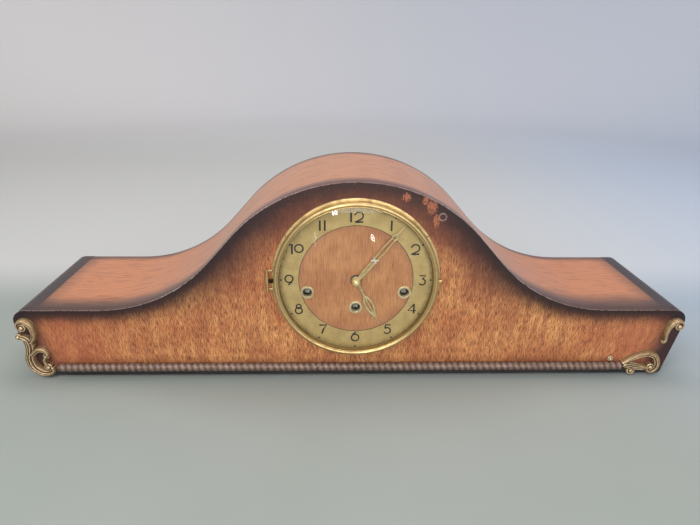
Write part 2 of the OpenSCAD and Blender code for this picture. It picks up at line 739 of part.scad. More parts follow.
// Arbor whose pinion leaves are cut from the solid, with a pivot at each end
module staff(at, pinion_back, pinion_len, leaves, module_size, phase, r = arbor_r) {
    pinion_front = pinion_back - pinion_len;
    bar(arbor_back_y, arbor_back_y - pinion_back, r, at);
    slab(pinion_back, pinion_len, at) rotate(phase) pinion_shape(leaves, module_size);
    bar(pinion_front, pinion_front - inner_front_y - end_shake, r, at);
    bar(back_plate_y + plate_t, plate_t + end_shake + 1, pivot_r, at);
    bar(inner_front_y + end_shake + 1, plate_t + end_shake + 1, pivot_r, at);
}
function into_gap(from, to, leaves) = bearing(from, to) + 180 / leaves;

module centre_wheel() color([0.82, 0.7, 0.38]) {
    crossed_wheel(second_y, wheel_t, at_centre, centre_teeth, centre_module, bearing(at_centre, at_third));
    slab(great_y + 1, great_t + 2, at_centre)
        rotate(into_gap(at_centre, at_time, centre_leaves)) pinion_shape(centre_leaves, time_module);
    bar(arbor_back_y, arbor_back_y - minute_hand_y + arbor_tip, centre_arbor_r, at_centre);
    bar(back_plate_y + plate_t, plate_t + 1, centre_arbor_r - 0.4, at_centre);
    bar(cannon_y, cannon_y - minute_hand_y, cannon_pipe_r, at_centre);
    slab(cannon_y, 3.2, at_centre)
        rotate(into_gap(at_centre, at_minute, cannon_leaves)) pinion_shape(cannon_leaves, cannon_module);
}

module minute_wheel() color([0.82, 0.7, 0.38]) difference() {
    union() {
        slab(cannon_y - 0.9, wheel_t, at_minute)
            rotate(bearing(at_minute, at_centre)) wheel_shape(minute_teeth, cannon_module);
        slab(cannon_y - 0.9, 6.8, at_minute)
            rotate(into_gap(at_minute, at_centre, minute_leaves)) pinion_shape(minute_leaves, hour_module);
    }
    bar(cannon_y, 10, click_stud_r + fit, at_minute);
}

module hour_wheel() color([0.82, 0.7, 0.38]) difference() {
    union() {
        crossed_wheel(hour_wheel_y, wheel_t, at_centre, hour_teeth, hour_module,
            bearing(at_centre, at_minute));
        bar(hour_wheel_y, hour_wheel_y - hour_hand_y + hand_t + 0.2, hour_pipe_r, at_centre);
    }
    bar(hour_wheel_y + 1, 20, cannon_pipe_r + fit, at_centre);
}

module third_wheel() color([0.82, 0.7, 0.38]) {
    crossed_wheel(third_wheel_y, wheel_t, at_third, third_teeth, third_module,
        bearing(at_third, at_escape));
    staff(at_third, second_y + 1.2, wheel_t + 2.4, third_leaves, centre_module,
        into_gap(at_third, at_centre, third_leaves), 1.1);
}

module escape_wheel() color([0.82, 0.7, 0.38]) {
    difference() {
        slab(escape_y, 1.2, at_escape) polygon(saw(escape_teeth, escape_r, escape_r - 1.5));
        for (q = [0:3]) slab(escape_y + 1, 3.2, at_escape) rotate(90 * q) intersection() {
            circle(escape_r - 3);
            translate([2, 2]) square(escape_r);
        }
    }
    bar(escape_y, 1.2, 2.6, at_escape);
    staff(at_escape, third_wheel_y + 1.2, wheel_t + 2.4, escape_leaves, third_module,
        into_gap(at_escape, at_third, escape_leaves), 1);
}

// Pallets, their arbor and the crutch that embraces the pendulum rod behind the back plate
cock_y = back_plate_y + plate_t + 10;
crutch_z = 128;
crutch_gap = 1.6;
crutch_y = back_plate_y + plate_t + 2;
crutch_t = 1.2;
fork_past = 3;
module anchor() color([0.6, 0.6, 0.58]) {
    slab(escape_y + 0.4, 2, at_anchor) {
        circle(2.6);
        for (side = [0, 1]) mirror([side, 0])
            polygon([[0, 2.2], [7.5, 0.4], [11, -4.6], [9.4, -6.9], [6.8, -2], [0, -2.2]]);
    }
    bar(cock_y + 2, cock_y + 1 - inner_front_y, pivot_r, at_anchor);
    bar(cock_y - end_shake, cock_y - inner_front_y - 2 * end_shake, arbor_r, at_anchor);
    bar(inner_front_y + end_shake + 1, plate_t + end_shake + 1, pivot_r, at_anchor);
    bar(back_plate_y + plate_t + 5, 4, 2.4, at_anchor);
    translate([-1.5, crutch_y, crutch_z]) cube([3, crutch_t, at_anchor[1] - crutch_z]);
    translate([-crutch_gap - 1, crutch_y, crutch_z - 4]) cube([2 * crutch_gap + 2, crutch_t, 5]);
    for (x = [-crutch_gap - 1, crutch_gap])
        translate([x, crutch_y, crutch_z - 4]) cube([1, pendulum_y + fork_past - crutch_y, 3]);
}

// ---------- strike and chime trains ----------

module train_wheel(at_barrel, at, at_fly) {
    crossed_wheel(second_y, wheel_t, at, fly_wheel_teeth, fly_module, bearing(at, at_fly));
    staff(at, great_y + 1, great_t + 2, side_leaves, side_module, into_gap(at, at_barrel, side_leaves));
}

// Air brake: a pinion and a broad vane that beats the air
module fly(at, at_wheel) {
    staff(at, second_y + 1.2, wheel_t + 2.4, fly_leaves, fly_module, into_gap(at, at_wheel, fly_leaves));
    slab(drum_back_y - 2, 20, at) {
        circle(2.4);
        rotate(35) square([21, 0.8], center = true);
    }
}

module strike_wheel() color([0.82, 0.7, 0.38]) train_wheel(at_strike, at_strike_wheel, at_strike_fly);
module strike_fly() color([0.76, 0.62, 0.32]) fly(at_strike_fly, at_strike_wheel);
module chime_wheel() color([0.82, 0.7, 0.38]) {
    train_wheel(at_chime, at_chime_wheel, at_chime_fly);
    bar(drum_end_y + 5, drum_end_y + 5 - back_plate_y, arbor_r, at_chime_wheel);
}
module chime_fly() color([0.76, 0.62, 0.32]) fly(at_chime_fly, at_chime_wheel);

drum_start_y = rod_y0 - 6;
drum_end_y = rod_y0 + (rod_count - 1) * rod_pitch + 6;
pins_per_hammer = 4;

module chime_drum() color([0.78, 0.64, 0.34]) difference() {
    union() {
        bar(drum_end_y, drum_end_y - drum_start_y, drum_pin_r - 3, at_chime_wheel);
        for (i = [0:rod_count - 1], k = [0:pins_per_hammer - 1])
            translate([at_chime_wheel[0], rod_y0 + i * rod_pitch, at_chime_wheel[1]])
                rotate([0, 360 / pins_per_hammer * k + 23 * i, 0]) translate([drum_pin_r - 4, 0, 0])
                    rotate([0, 90, 0]) cylinder(h = 4, r = 0.7);
    }
    bar(drum_end_y + 1, drum_end_y - drum_start_y + 2, arbor_r, at_chime_wheel);
}

// ---------- hammers, gongs and pendulum ----------

function strip(from, to, w0, w1) = let (a = bearing(from, to)) [
    polar(from, w0 / 2, a + 90), polar(from, w0 / 2, a - 90),
    polar(to, w1 / 2, a - 90), polar(to, w1 / 2, a + 90)
];
bridge_y = drum_end_y + 3;
bridge_post = [76, 96];

// Arbor that the hammers swing on, with the bridge that carries its far end and the drum's
module hammer_arbor() color([0.6, 0.58, 0.54]) {
    bar(bridge_y, bridge_y - back_plate_y - plate_t, hammer_arbor_r, at_hammer);
    bar(bridge_y, bridge_y - back_plate_y - plate_t, 2.5, bridge_post);
    slab(bridge_y + 2, 2) difference() {
        union() {
            for (at = [at_hammer, bridge_post, at_chime_wheel]) translate(at) circle(5);
            polygon(strip(at_hammer, bridge_post, 8, 8));
            polygon(strip(bridge_post, at_chime_wheel, 8, 8));
        }
        translate(at_chime_wheel) circle(arbor_r + fit);
    }
}

module hammer(i) {
    y = rod_y0 + i * rod_pitch;
    rest_z = rod_z + rod_r + 1;
    difference() {
        union() {
            bar(y + 3.5, 7, 3.2, at_hammer);
            slab(y + 1, 2) polygon(strip(at_hammer, [strike_x, rest_z + 9], 3, 2.4));
            slab(y + 1, 2) polygon(strip(at_hammer, at_hammer + [-5, 33], 3, 2));
            translate([strike_x, y, rest_z]) cylinder(h = 2.5, r = 2.6);
            translate([strike_x, y, rest_z + 2.5]) cylinder(h = 10, r = 3.9);
        }
        bar(y + 4, 8, hammer_arbor_r + fit, at_hammer);
    }
}

module hammer_1() color([0.8, 0.68, 0.4]) hammer(0);
module hammer_2() color([0.8, 0.68, 0.4]) hammer(1);
module hammer_3() color([0.8, 0.68, 0.4]) hammer(2);
module hammer_4() color([0.8, 0.68, 0.4]) hammer(3);

module rod_block() color([0.25, 0.25, 0.26])
    translate([block_x, rod_y0 - 8, base_top])
        cube([block_w, (rod_count - 1) * rod_pitch + 16, rod_z - base_top + 9]);

module gong_rods() color([0.74, 0.6, 0.36]) for (i = [0:rod_count - 1]) {
    length = rod_len - i * 22;
    translate([block_x - length, rod_y0 + i * rod_pitch, rod_z]) rotate([0, 90, 0])
        cylinder(h = length, r = rod_r);
    translate([block_x - 6, rod_y0 + i * rod_pitch, rod_z]) rotate([0, 90, 0]) cylinder(h = 6, r = 2.6);
}

// Cock on the back plate: rear bearing of the anchor and the suspension spring of the pendulum
module suspension_cock() color([0.76, 0.62, 0.32]) {
    foot_y = back_plate_y + plate_t;
    arm_z = at_anchor[1] + 5.5;
    for (x = [-13, 10]) translate([x, foot_y, at_anchor[1] - 5]) cube([3, cock_y - foot_y, 14]);
    difference() {
        translate([-13, cock_y, at_anchor[1] - 5]) cube([26, 2, 14]);
        bar(cock_y + 3, 4, pivot_r + fit, at_anchor);
    }
    translate([-3, cock_y, arm_z]) cube([6, pendulum_y + 3 - cock_y, 3.5]);
    translate([-0.1, pendulum_y - 1.4, at_anchor[1] + 0.3]) cube([0.2, 4.2, arm_z - at_anchor[1] + 1]);
}

bob_z = at_anchor[1] - pendulum_len;
pendulum_rod_r = 1.2;

module pendulum_rod() color([0.7, 0.66, 0.55]) {
    translate([-2, pendulum_y - 1.4, at_anchor[1] - 8]) cube([4, 4.2, 7.8]);
    translate([0, pendulum_y, bob_z - bob_r - 7]) cylinder(h = pendulum_len + bob_r, r = pendulum_rod_r);
}

// Bob with bevelled faces, on its rating nut
bob_rim_t = 2;
bob_face_r = 5;
bob_nut_r = 3.4;
module pendulum_bob() color([0.84, 0.7, 0.38]) difference() {
    union() {
        translate([0, pendulum_y, bob_z]) rotate([90, 0, 0]) rotate_extrude() polygon([
            [0, -bob_t / 2], [bob_face_r, -bob_t / 2], [bob_r, -bob_rim_t / 2],
            [bob_r, bob_rim_t / 2], [bob_face_r, bob_t / 2], [0, bob_t / 2]
        ]);
        translate([0, pendulum_y, bob_z - bob_r - 3.2]) cylinder(h = 5, r = bob_nut_r);
    }
    translate([0, pendulum_y, bob_z - bob_r - 10])
        cylinder(h = 2 * bob_r + 20, r = pendulum_rod_r + fit);
}

front_panel();
top_skin();
end_blocks();
base_board();
back_frame();
foot_pads();
back_door();
door_hinge_leaves();
door_hinge_knuckles();
door_catch();
left_corner_mount();
right_corner_mount();
rope_moulding();
bezel_flange();
bezel_hinge_pin();
bezel_ring();
bezel_glass();
dial_pan();
chapter_ring();
dial_centre();
winding_grommets();
hour_hand();
minute_hand();
hand_nut();
front_plate();
back_plate();
plate_pillars();
movement_feet();
case_screws();
time_barrel();
strike_barrel();
chime_barrel();
time_winding_arbor();
strike_winding_arbor();
chime_winding_arbor();
time_click();
strike_click();
chime_click();
click_springs();
centre_wheel();
minute_wheel();
hour_wheel();
third_wheel();
escape_wheel();
anchor();
strike_wheel();
strike_fly();
chime_wheel();
chime_drum();
chime_fly();
hammer_arbor();
hammer_1();
hammer_2();
hammer_3();
hammer_4();
rod_block();
gong_rods();
suspension_cock();
pendulum_rod();
pendulum_bob();
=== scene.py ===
"""Looks of the mantel clock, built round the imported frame: sunburst veneer on the case, gilt
scroll mounts, twisted bead, bezel with domed glass, dial, hands and the movement's metals."""

import math

import bpy
import numpy as np
from mathutils import Matrix, Vector

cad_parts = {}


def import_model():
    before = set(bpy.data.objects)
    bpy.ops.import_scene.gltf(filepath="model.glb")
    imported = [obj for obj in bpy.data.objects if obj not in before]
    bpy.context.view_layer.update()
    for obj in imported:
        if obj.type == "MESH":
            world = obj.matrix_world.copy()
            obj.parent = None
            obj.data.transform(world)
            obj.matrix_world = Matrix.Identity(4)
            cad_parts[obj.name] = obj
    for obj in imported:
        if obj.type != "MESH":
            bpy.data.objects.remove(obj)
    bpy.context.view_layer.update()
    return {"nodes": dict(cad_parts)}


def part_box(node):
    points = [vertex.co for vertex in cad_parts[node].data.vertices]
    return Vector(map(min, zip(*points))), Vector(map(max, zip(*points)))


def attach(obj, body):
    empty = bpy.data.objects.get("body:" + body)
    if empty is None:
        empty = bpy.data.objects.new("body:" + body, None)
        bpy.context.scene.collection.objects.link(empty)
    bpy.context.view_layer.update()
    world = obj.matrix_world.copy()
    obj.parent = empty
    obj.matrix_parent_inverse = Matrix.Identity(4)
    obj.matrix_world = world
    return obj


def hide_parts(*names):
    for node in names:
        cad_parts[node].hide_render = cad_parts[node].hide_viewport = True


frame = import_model()
MM = 0.001


# ---------- places, in millimetres in the part's own frame ----------


def box_mm(node):
    low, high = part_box(node)
    return low / MM, high / MM


CASE_LOW, CASE_HIGH = box_mm("front_panel")
SKIN_HIGH = box_mm("top_skin")[1]
FRONT_Y = CASE_LOW.y
BACK_Y = SKIN_HIGH.y
ROOF_TOP = SKIN_HIGH.z
END_X = CASE_HIGH.x
PLATE_LOW, PLATE_HIGH = box_mm("chapter_ring")
DIAL_Z = (PLATE_LOW.z + PLATE_HIGH.z) / 2
DIAL_Y = PLATE_LOW.y
DIAL_R = PLATE_HIGH.x
DISC_R = box_mm("dial_centre")[1].x

# The roof line: a hump, a straight slope, a hollow and a level wing
WING_Z = 76
HUMP_R = 160
HOLLOW_R = 150
SLOPE = math.radians(48)
END_LEAN = math.radians(13)
HUMP_Z = ROOF_TOP - HUMP_R
HOLLOW_Z = WING_Z + HOLLOW_R
SLOPE_FALL = HUMP_Z + HUMP_R * math.cos(SLOPE) - WING_Z - HOLLOW_R * (1 - math.cos(SLOPE))
SLOPE_RUN = SLOPE_FALL / math.sin(SLOPE)
HOLLOW_X = (HUMP_R + HOLLOW_R) * math.sin(SLOPE) + SLOPE_RUN * math.cos(SLOPE)
CORNER_R = 12
WALL_REACH = (
    (END_X - CORNER_R) * math.cos(END_LEAN) - (WING_Z - CORNER_R) * math.sin(END_LEAN) + CORNER_R
)

# The minute hand's turn from twelve and the hour hand's, clockwise
MINUTE_TURN = math.radians(38.4)
HOUR_TURN = math.radians(150) + MINUTE_TURN / 12


# Worn places on the front, as (x, z, half width, half height), and a scratched ring's middle and radius
WORN_PATCHES = ((46, 193, 4, 4), (70, 184, 5, 7), (75, 170, 3, 7), (64, 190, 3, 4))
SCRATCH = (81, 174)
SCRATCH_R = 3.4


# ---------- material nodes ----------


def linear(r, g, b):
    """An 8-bit screen colour as the linear colour that shaders use."""
    return tuple(
        c / 255 / 12.92 if c / 255 <= 0.04045 else ((c / 255 + 0.055) / 1.055) ** 2.4 for c in (r, g, b)
    ) + (1.0,)


def split(tree, vector):
    """The x, y and z of a vector."""
    node = tree.nodes.new("ShaderNodeSeparateXYZ")
    tree.links.new(vector, node.inputs[0])
    return node.outputs


def operator(operation, swapped=False):
    """A method of Num that adds a math node."""

    def method(self, other):
        return self.paint.math(operation, *((other, self) if swapped else (self, other)))

    return method


class Num:
    """A number that varies over a surface, with ordinary arithmetic."""

    def __init__(self, paint, socket):
        self.paint, self.socket = paint, socket

    __add__, __radd__ = operator("ADD"), operator("ADD", True)
    __sub__, __rsub__ = operator("SUBTRACT"), operator("SUBTRACT", True)
    __mul__, __rmul__ = operator("MULTIPLY"), operator("MULTIPLY", True)
    __truediv__ = operator("DIVIDE")
    above, high_of = operator("GREATER_THAN"), operator("MAXIMUM")

    def __abs__(self):
        return self.paint.math("ABSOLUTE", self)

    def sqrt(self):
        return self.paint.math("SQRT", self)


class Paint:
    """A material built from short expressions over the part's own coordinates in millimetres."""

    def __init__(self, name, **principled):
        self.material = bpy.data.materials.new(name)
        self.material.use_nodes = True
        self.tree = self.material.node_tree
        self.shader = self.tree.nodes["Principled BSDF"]
        for key, value in principled.items():
            self.shader.inputs[key.replace("_", " ")].default_value = value
        place = self.tree.nodes.new("ShaderNodeTexCoord").outputs["Object"]
        scale = self.tree.nodes.new("ShaderNodeVectorMath")
        scale.operation = "SCALE"
        scale.inputs["Scale"].default_value = 1 / MM
        self.tree.links.new(place, scale.inputs[0])
        self.x, self.y, self.z = (Num(self, axis) for axis in split(self.tree, scale.outputs[0]))

    def put(self, socket, value):
        if isinstance(value, Num):
            value = value.socket
        if isinstance(value, bpy.types.NodeSocket):
            self.tree.links.new(value, socket)
        else:
            socket.default_value = value

    def math(self, operation, *values):
        node = self.tree.nodes.new("ShaderNodeMath")
        node.operation = operation
        for socket, value in zip(node.inputs, values):
            self.put(socket, value)
        return Num(self, node.outputs[0])

    def vector(self, x, y, z):
        node = self.tree.nodes.new("ShaderNodeCombineXYZ")
        for socket, value in zip(node.inputs, (x, y, z)):
            self.put(socket, value)
        return node.outputs[0]

    def noise(self, x, y, z, detail=3.0, rough=0.55, distort=0.0):
        """Smooth noise round 0.5 whose features are about one unit of x, y and z across."""
        node = self.tree.nodes.new("ShaderNodeTexNoise")
        self.put(node.inputs["Vector"], self.vector(x, y, z))
        node.inputs["Scale"].default_value = 1.0
        node.inputs["Detail"].default_value = detail
        node.inputs["Roughness"].default_value = rough
        node.inputs["Distortion"].default_value = distort
        return Num(self, node.outputs["Fac"])

    def lumps(self, size, detail=3.0, rough=0.55):
        """Smooth noise with features of one size in all directions."""
        return self.noise(self.x / size, self.y / size, self.z / size, detail, rough)

    def figure(self, along, length, width, detail, rough=0.55, distort=0.0):
        """Noise drawn out to length along one axis and width across it."""
        x, y, z = (
            place / (length if axis == along else width)
            for axis, place in zip("xyz", (self.x, self.y, self.z))
        )
        return self.noise(x, y, z, detail, rough, distort)

    def fade(self, value, start, end):
        """0 at start and 1 at end, with soft ends."""
        node = self.tree.nodes.new("ShaderNodeMapRange")
        node.interpolation_type = "SMOOTHSTEP"
        self.put(node.inputs["Value"], value)
        self.put(node.inputs["From Min"], start)
        self.put(node.inputs["From Max"], end)
        return Num(self, node.outputs["Result"])

    def mix(self, share, a, b):
        node = self.tree.nodes.new("ShaderNodeMix")
        node.data_type = "RGBA"
        self.put(node.inputs[0], share)
        self.put(node.inputs[6], a)
        self.put(node.inputs[7], b)
        return node.outputs[2]

    def pick(self, share, a, b):
        """a where share is 0 and b where it is 1."""
        return share * b + (1.0 - share) * a

    def attribute(self, name):
        node = self.tree.nodes.new("ShaderNodeAttribute")
        node.attribute_name = name
        return Num(self, node.outputs["Fac"])

    def facing_up(self):
        """The surface normal's z."""
        node = self.tree.nodes.new("ShaderNodeNewGeometry")
        return Num(self, split(self.tree, node.outputs["Normal"])[2])

    def finish(self, colour, rough, height=None, depth=0.0):
        """Sets colour, roughness and a bump: height runs from 0 to 1 over depth millimetres."""
        self.put(self.shader.inputs["Base Color"], colour)
        self.put(self.shader.inputs["Roughness"], rough)
        if height:
            node = self.tree.nodes.new("ShaderNodeBump")
            node.inputs["Distance"].default_value = depth * MM
            node.inputs["Strength"].default_value = 1.0
            self.put(node.inputs["Height"], height)
            self.tree.links.new(node.outputs["Normal"], self.shader.inputs["Normal"])
        return self.material


def roof_distance(p):
    """How far a point of the front lies inside the roof line."""
    side = abs(p.x)
    cos, sin = math.cos(SLOPE), math.sin(SLOPE)
    from_hump = HUMP_R - (side * side + (p.z - HUMP_Z) * (p.z - HUMP_Z)).sqrt()
    along = (side - HUMP_R * sin) * cos - (p.z - HUMP_Z - HUMP_R * cos) * sin
    from_slope = HUMP_R - side * sin - (p.z - HUMP_Z) * cos
    run, rise = side - HOLLOW_X, p.z - HOLLOW_Z
    from_hollow = (run * run + rise * rise).sqrt() - HOLLOW_R
    inner = p.pick(along.above(0.0), from_hump, from_slope)
    outer = p.pick(along.above(SLOPE_RUN), inner, from_hollow)
    return p.pick(side.above(HOLLOW_X), outer, WING_Z - p.z)


def end_distance(p):
    """How far a point lies inside the leaning end wall."""
    return WALL_REACH - abs(p.x) * math.cos(END_LEAN) + p.z * math.sin(END_LEAN)


def front_veneer():
    """Orange-brown veneer with short upright figure, shaded dark towards the outline."""
    p = Paint("front_veneer", Coat_Weight=0.1, Coat_Roughness=0.25, Specular_IOR_Level=0.35)
    waver = (p.noise(p.x / 26, 0.0, p.z / 40) - 0.5) * 6
    across = p.x / (1.0 + (p.z - DIAL_Z) * 0.0005) + waver
    streak = p.noise(across / 0.8, 3.0, p.z / 8.5, 4.0, 0.72)
    fine = p.noise(across / 0.5, 9.0, p.z / 6.5, 2.0, 0.6)
    band = p.noise(across / 7, 5.0, p.z / 70, 3.0)
    cloud = p.noise(p.x / 42, 1.0, p.z / 36, 4.0, 0.6)
    light = p.mix(p.fade(cloud, 0.36, 0.64), linear(188, 116, 70), linear(216, 152, 92))
    warm = p.mix(p.fade(band, 0.42, 0.62) * 0.6, light, linear(154, 88, 54))
    grain = p.mix(p.fade(streak, 0.51, 0.42) * 0.84, warm, linear(104, 54, 34))
    grain = p.mix(p.fade(fine, 0.47, 0.37) * 0.74, grain, linear(80, 38, 28))
    grain = p.mix(p.fade(fine, 0.54, 0.64) * 0.46, grain, linear(234, 172, 122))
    side = abs(p.x)
    red = p.fade(side + (cloud - 0.5) * 60, 205.0, 300.0)
    grain = p.mix(red * 0.5, grain, linear(158, 82, 60))
    inside = roof_distance(p)
    drift = (p.noise(p.x / 22, 7.0, p.z / 22, 3.0) - 0.5) * 14
    ragged = inside + drift * p.fade(inside, 0.0, 14.0) + (streak - 0.5) * 8
    scorch = p.fade(ragged + (cloud - 0.5) * 50, 62.0, 14.0) * p.fade(side, 190.0, 110.0)
    grain = p.mix(scorch * 0.72, grain, linear(112, 56, 42))
    reach = p.pick(p.fade(side, 90.0, 235.0), 42.0, 22.0)
    smoked = p.fade(ragged, reach, 1.0)
    ends = p.fade(end_distance(p) + (cloud - 0.5) * 18, 34.0, 8.0)
    foot = p.fade(p.z + (cloud - 0.5) * 12, 27.0, 9.0) * 0.55
    deep = p.mix(p.fade(side, 30.0, 110.0), linear(60, 24, 18), linear(32, 14, 20))
    face = p.mix(smoked * 0.93, grain, deep)
    face = p.mix(p.fade(ragged, 14.0, 0.0) * 0.7, face, linear(34, 18, 20))
    face = p.mix(ends * 0.95, face, linear(34, 20, 28))
    face = p.mix(foot, face, linear(74, 34, 28))
    # Worn specks on the hump, and larger worn patches with a scratched ring beside them
    speck = p.noise(p.x / 1.6, 11.0, p.z / 2.8, 5.0, 0.8)
    worn = p.fade(speck, 0.58, 0.66) * p.fade(inside, 26.0, 6.0) * p.fade(side, 112.0, 60.0) * 0.6
    for at_x, at_z, wide, tall in WORN_PATCHES:
        across_x, across_z = (p.x - at_x) / wide, (p.z - at_z) / tall
        near = across_x * across_x + across_z * across_z + (speck - 0.5) * 9
        worn = worn.high_of(p.fade(near, 1.1, 0.2) * p.fade(speck, 0.66, 0.5))
    face = p.mix(worn * 0.8, face, linear(176, 104, 72))
    ring_x, ring_z = p.x - SCRATCH[0], p.z - SCRATCH[1]
    ring = abs((ring_x * ring_x + ring_z * ring_z).sqrt() - SCRATCH_R)
    face = p.mix(p.fade(ring, 0.9, 0.3) * p.fade(speck, 0.42, 0.52) * 0.5, face, linear(196, 164, 156))
    # The rounded upper edge is finished like the top, with its varnish chipped off in dashes
    up = p.facing_up()
    chip = p.noise(p.x / 3.2, 2.0, p.z / 3.2, 3.0, 0.6)
    rub = p.fade(up, 0.1, 0.35) * p.fade(up, 0.97, 0.85) * p.fade(p.y, FRONT_Y + 1.6, FRONT_Y + 1.0)
    edge = p.mix(p.fade(up, 0.3, 0.6), face, top_colour(p))
    face = p.mix(rub * p.fade(chip, 0.42, 0.48) * 0.85, edge, linear(206, 184, 178))
    return p.finish(face, 0.38 + fine * 0.14, streak * 0.6 + fine * 0.4, 0.05)


def top_colour(p):
    """Tan veneer whose figure runs along the roof, with dark margins; the front margin is partly painted
    sheen.
    """
    drift = (p.noise(p.x / 60, p.y / 20, 0.0) - 0.5) * 9
    across = p.y + drift
    streak = p.noise(p.x / 30, across / 2.4, 4.0, 4.0, 0.64)
    fine = p.noise(p.x / 12, across / 0.8, 8.0, 2.0)
    base = p.mix(p.fade(p.z, 80.0, 180.0), linear(190, 122, 82), linear(188, 128, 92))
    base = p.mix(p.fade(streak, 0.52, 0.34) * 0.65, base, linear(128, 76, 56))
    base = p.mix(p.fade(fine, 0.46, 0.3) * 0.4, base, linear(110, 64, 48))
    ragged = (streak - 0.5) * 12
    reach = p.pick(p.fade(p.z, 80.0, 130.0), 40.0 + p.fade(p.x, 0.0, 200.0) * 8, 26.0)
    front = p.fade(p.y - FRONT_Y + ragged, reach, 8.0)
    back = p.fade(BACK_Y - p.y + ragged, 18.0, 3.0)
    # Front margin: a dark toned edge, painted lighter on the slopes and hump as a painted sheen
    margin_tone_and_sheen = p.mix(p.fade(p.z, 82.0, 150.0), linear(54, 38, 38), linear(92, 62, 58))
    base = p.mix(front * 0.9, base, margin_tone_and_sheen)
    base = p.mix(back * 0.85, base, linear(70, 50, 48))
    ends = p.fade(end_distance(p) + ragged, 46.0, 8.0)
    return p.mix(ends * 0.85, base, linear(48, 36, 38))


def top_veneer():
    p = Paint("top_veneer", Coat_Weight=0.22, Coat_Roughness=0.2)
    fine = p.noise(p.x / 12, p.y / 1.1, 3.0)
    return p.finish(top_colour(p), 0.34 + fine * 0.16, fine, 0.05)


def plain_wood(name, light, dark, along, coat=0.0, rough=0.5):
    """Straight-grained wood. along is the grain's direction, x, y or z."""
    p = Paint(name, Coat_Weight=coat, Coat_Roughness=0.25)
    grain = p.figure(along, 30.0, 1.6, 4.0, 0.6, 0.4)
    wide = p.lumps(60, 2.0)
    tone = p.mix(p.fade(grain, 0.32, 0.66), linear(*dark), linear(*light))
    tone = p.mix(p.fade(wide, 0.4, 0.7) * 0.4, tone, linear(*dark))
    return p.finish(tone, rough + grain * 0.18, grain, 0.08)


def metal(name, bright, dull, rough=0.3, tarnish=0.35, brushed=None, pits=0.015, share=1.0):
    """Metal with tarnish clouds. brushed names the axis that fine polishing lines run along."""
    p = Paint(name, Metallic=share)
    cloud = p.lumps(9, 4.0, 0.6)
    spot = p.lumps(1.6)
    worn = p.fade(cloud + (spot - 0.5) * 0.35, 0.4, 0.7)
    tone = p.mix(worn * tarnish, linear(*bright), linear(*dull))
    if not brushed:
        return p.finish(tone, rough + worn * 0.2, spot, pits)
    lines = p.figure(brushed, 14.0, 0.25, 2.0)
    return p.finish(tone, rough + worn * 0.15 + lines * 0.12, lines, 0.02)


def cast_gilt():
    """Gilt castings with a painted highlight on the crests and painted shade in the recesses."""
    p = Paint("gilt_casting", Metallic=0.55)
    deep = p.attribute("hollow")
    cloud = p.lumps(3, 4.0, 0.6)
    base = p.mix(p.fade(cloud, 0.35, 0.7), linear(168, 138, 100), linear(126, 98, 68))
    # Painted highlight: the crests lightened to pale cream
    base = p.mix(p.fade(deep, 0.42, 0.1) * 0.85, base, linear(240, 216, 178))
    # Painted shade: the recesses darkened almost to black
    base = p.mix(p.fade(deep, 0.52, 0.7), base, linear(50, 32, 26))
    return p.finish(base, 0.34 + cloud * 0.25, cloud, 0.05)


def bead_metal():
    """The twisted bead: dull pinkish brown, with a painted highlight on the crests and painted shade in the
    grooves.
    """
    p = Paint("bead_metal", Metallic=0.3)
    deep = p.attribute("hollow")
    cloud = p.lumps(4, 4.0, 0.6)
    base = p.mix(p.fade(cloud, 0.38, 0.66), linear(120, 96, 84), linear(92, 70, 60))
    # Painted highlight on the crests
    base = p.mix(p.fade(deep, 0.35, 0.0) * 0.4, base, linear(184, 158, 144))
    # Painted shade in the grooves
    base = p.mix(p.fade(deep, 0.55, 1.0) * 0.7, base, linear(72, 54, 46))
    return p.finish(base, 0.36 + cloud * 0.22, cloud, 0.05)


def from_dial(p):
    """Distance from the dial's axis."""
    return (p.x * p.x + (p.z - DIAL_Z) * (p.z - DIAL_Z)).sqrt()


def chapter_metal():
    """Satin gilt dial ring, with a painted shadow of the bezel darkening it towards the rim."""
    p = Paint("chapter_metal", Metallic=0.25)
    r = from_dial(p)
    cloud = p.noise(p.x / 12, 0.0, p.z / 12, 4.0, 0.6)
    spot = p.noise(p.x / 1.5, 0.0, p.z / 1.5, 3.0)
    base = p.mix(p.fade(cloud, 0.3, 0.7), linear(194, 166, 112), linear(176, 148, 96))
    # Painted shadow of the bezel: darker towards the rim
    base = p.mix(p.fade(r + (cloud - 0.5) * 3, 69.0, 76.0) * 0.6, base, linear(112, 98, 64))
    base = p.mix(p.fade(spot, 0.62, 0.72) * 0.4, base, linear(120, 100, 58))
    return p.finish(base, 0.42 + spot * 0.12, spot, 0.012)


def dial_veneer():
    """Reddish veneer disc with upright figure."""
    p = Paint("dial_veneer", Coat_Weight=0.3, Coat_Roughness=0.2)
    across = p.x + (p.noise(p.x / 22, 0.0, p.z / 40) - 0.5) * 6
    streak = p.noise(across, 6.0, p.z / 20, 4.0, 0.68)
    fine = p.noise(across / 0.6, 4.0, p.z / 12, 2.0, 0.6)
    cloud = p.noise(p.x / 24, 2.0, p.z / 30, 3.0)
    base = p.mix(p.fade(cloud, 0.35, 0.65), linear(176, 112, 70), linear(196, 134, 86))
    base = p.mix(p.fade(streak, 0.54, 0.36) * 0.5, base, linear(118, 66, 44))
    base = p.mix(p.fade(fine, 0.54, 0.66) * 0.35, base, linear(226, 168, 124))
    base = p.mix(p.fade(from_dial(p), 46.0, 56.0) * 0.35, base, linear(150, 94, 76))
    return p.finish(base, 0.4 + streak * 0.12, streak, 0.03)


def enamel(name, shade):
    """Thin printed or painted lines on the dial."""
    p = Paint(name)
    worn = p.lumps(0.8)
    tone = p.mix(p.fade(worn, 0.5, 0.75) * 0.5, linear(*shade), linear(66, 54, 36))
    return p.finish(tone, 0.45 + worn * 0.2)


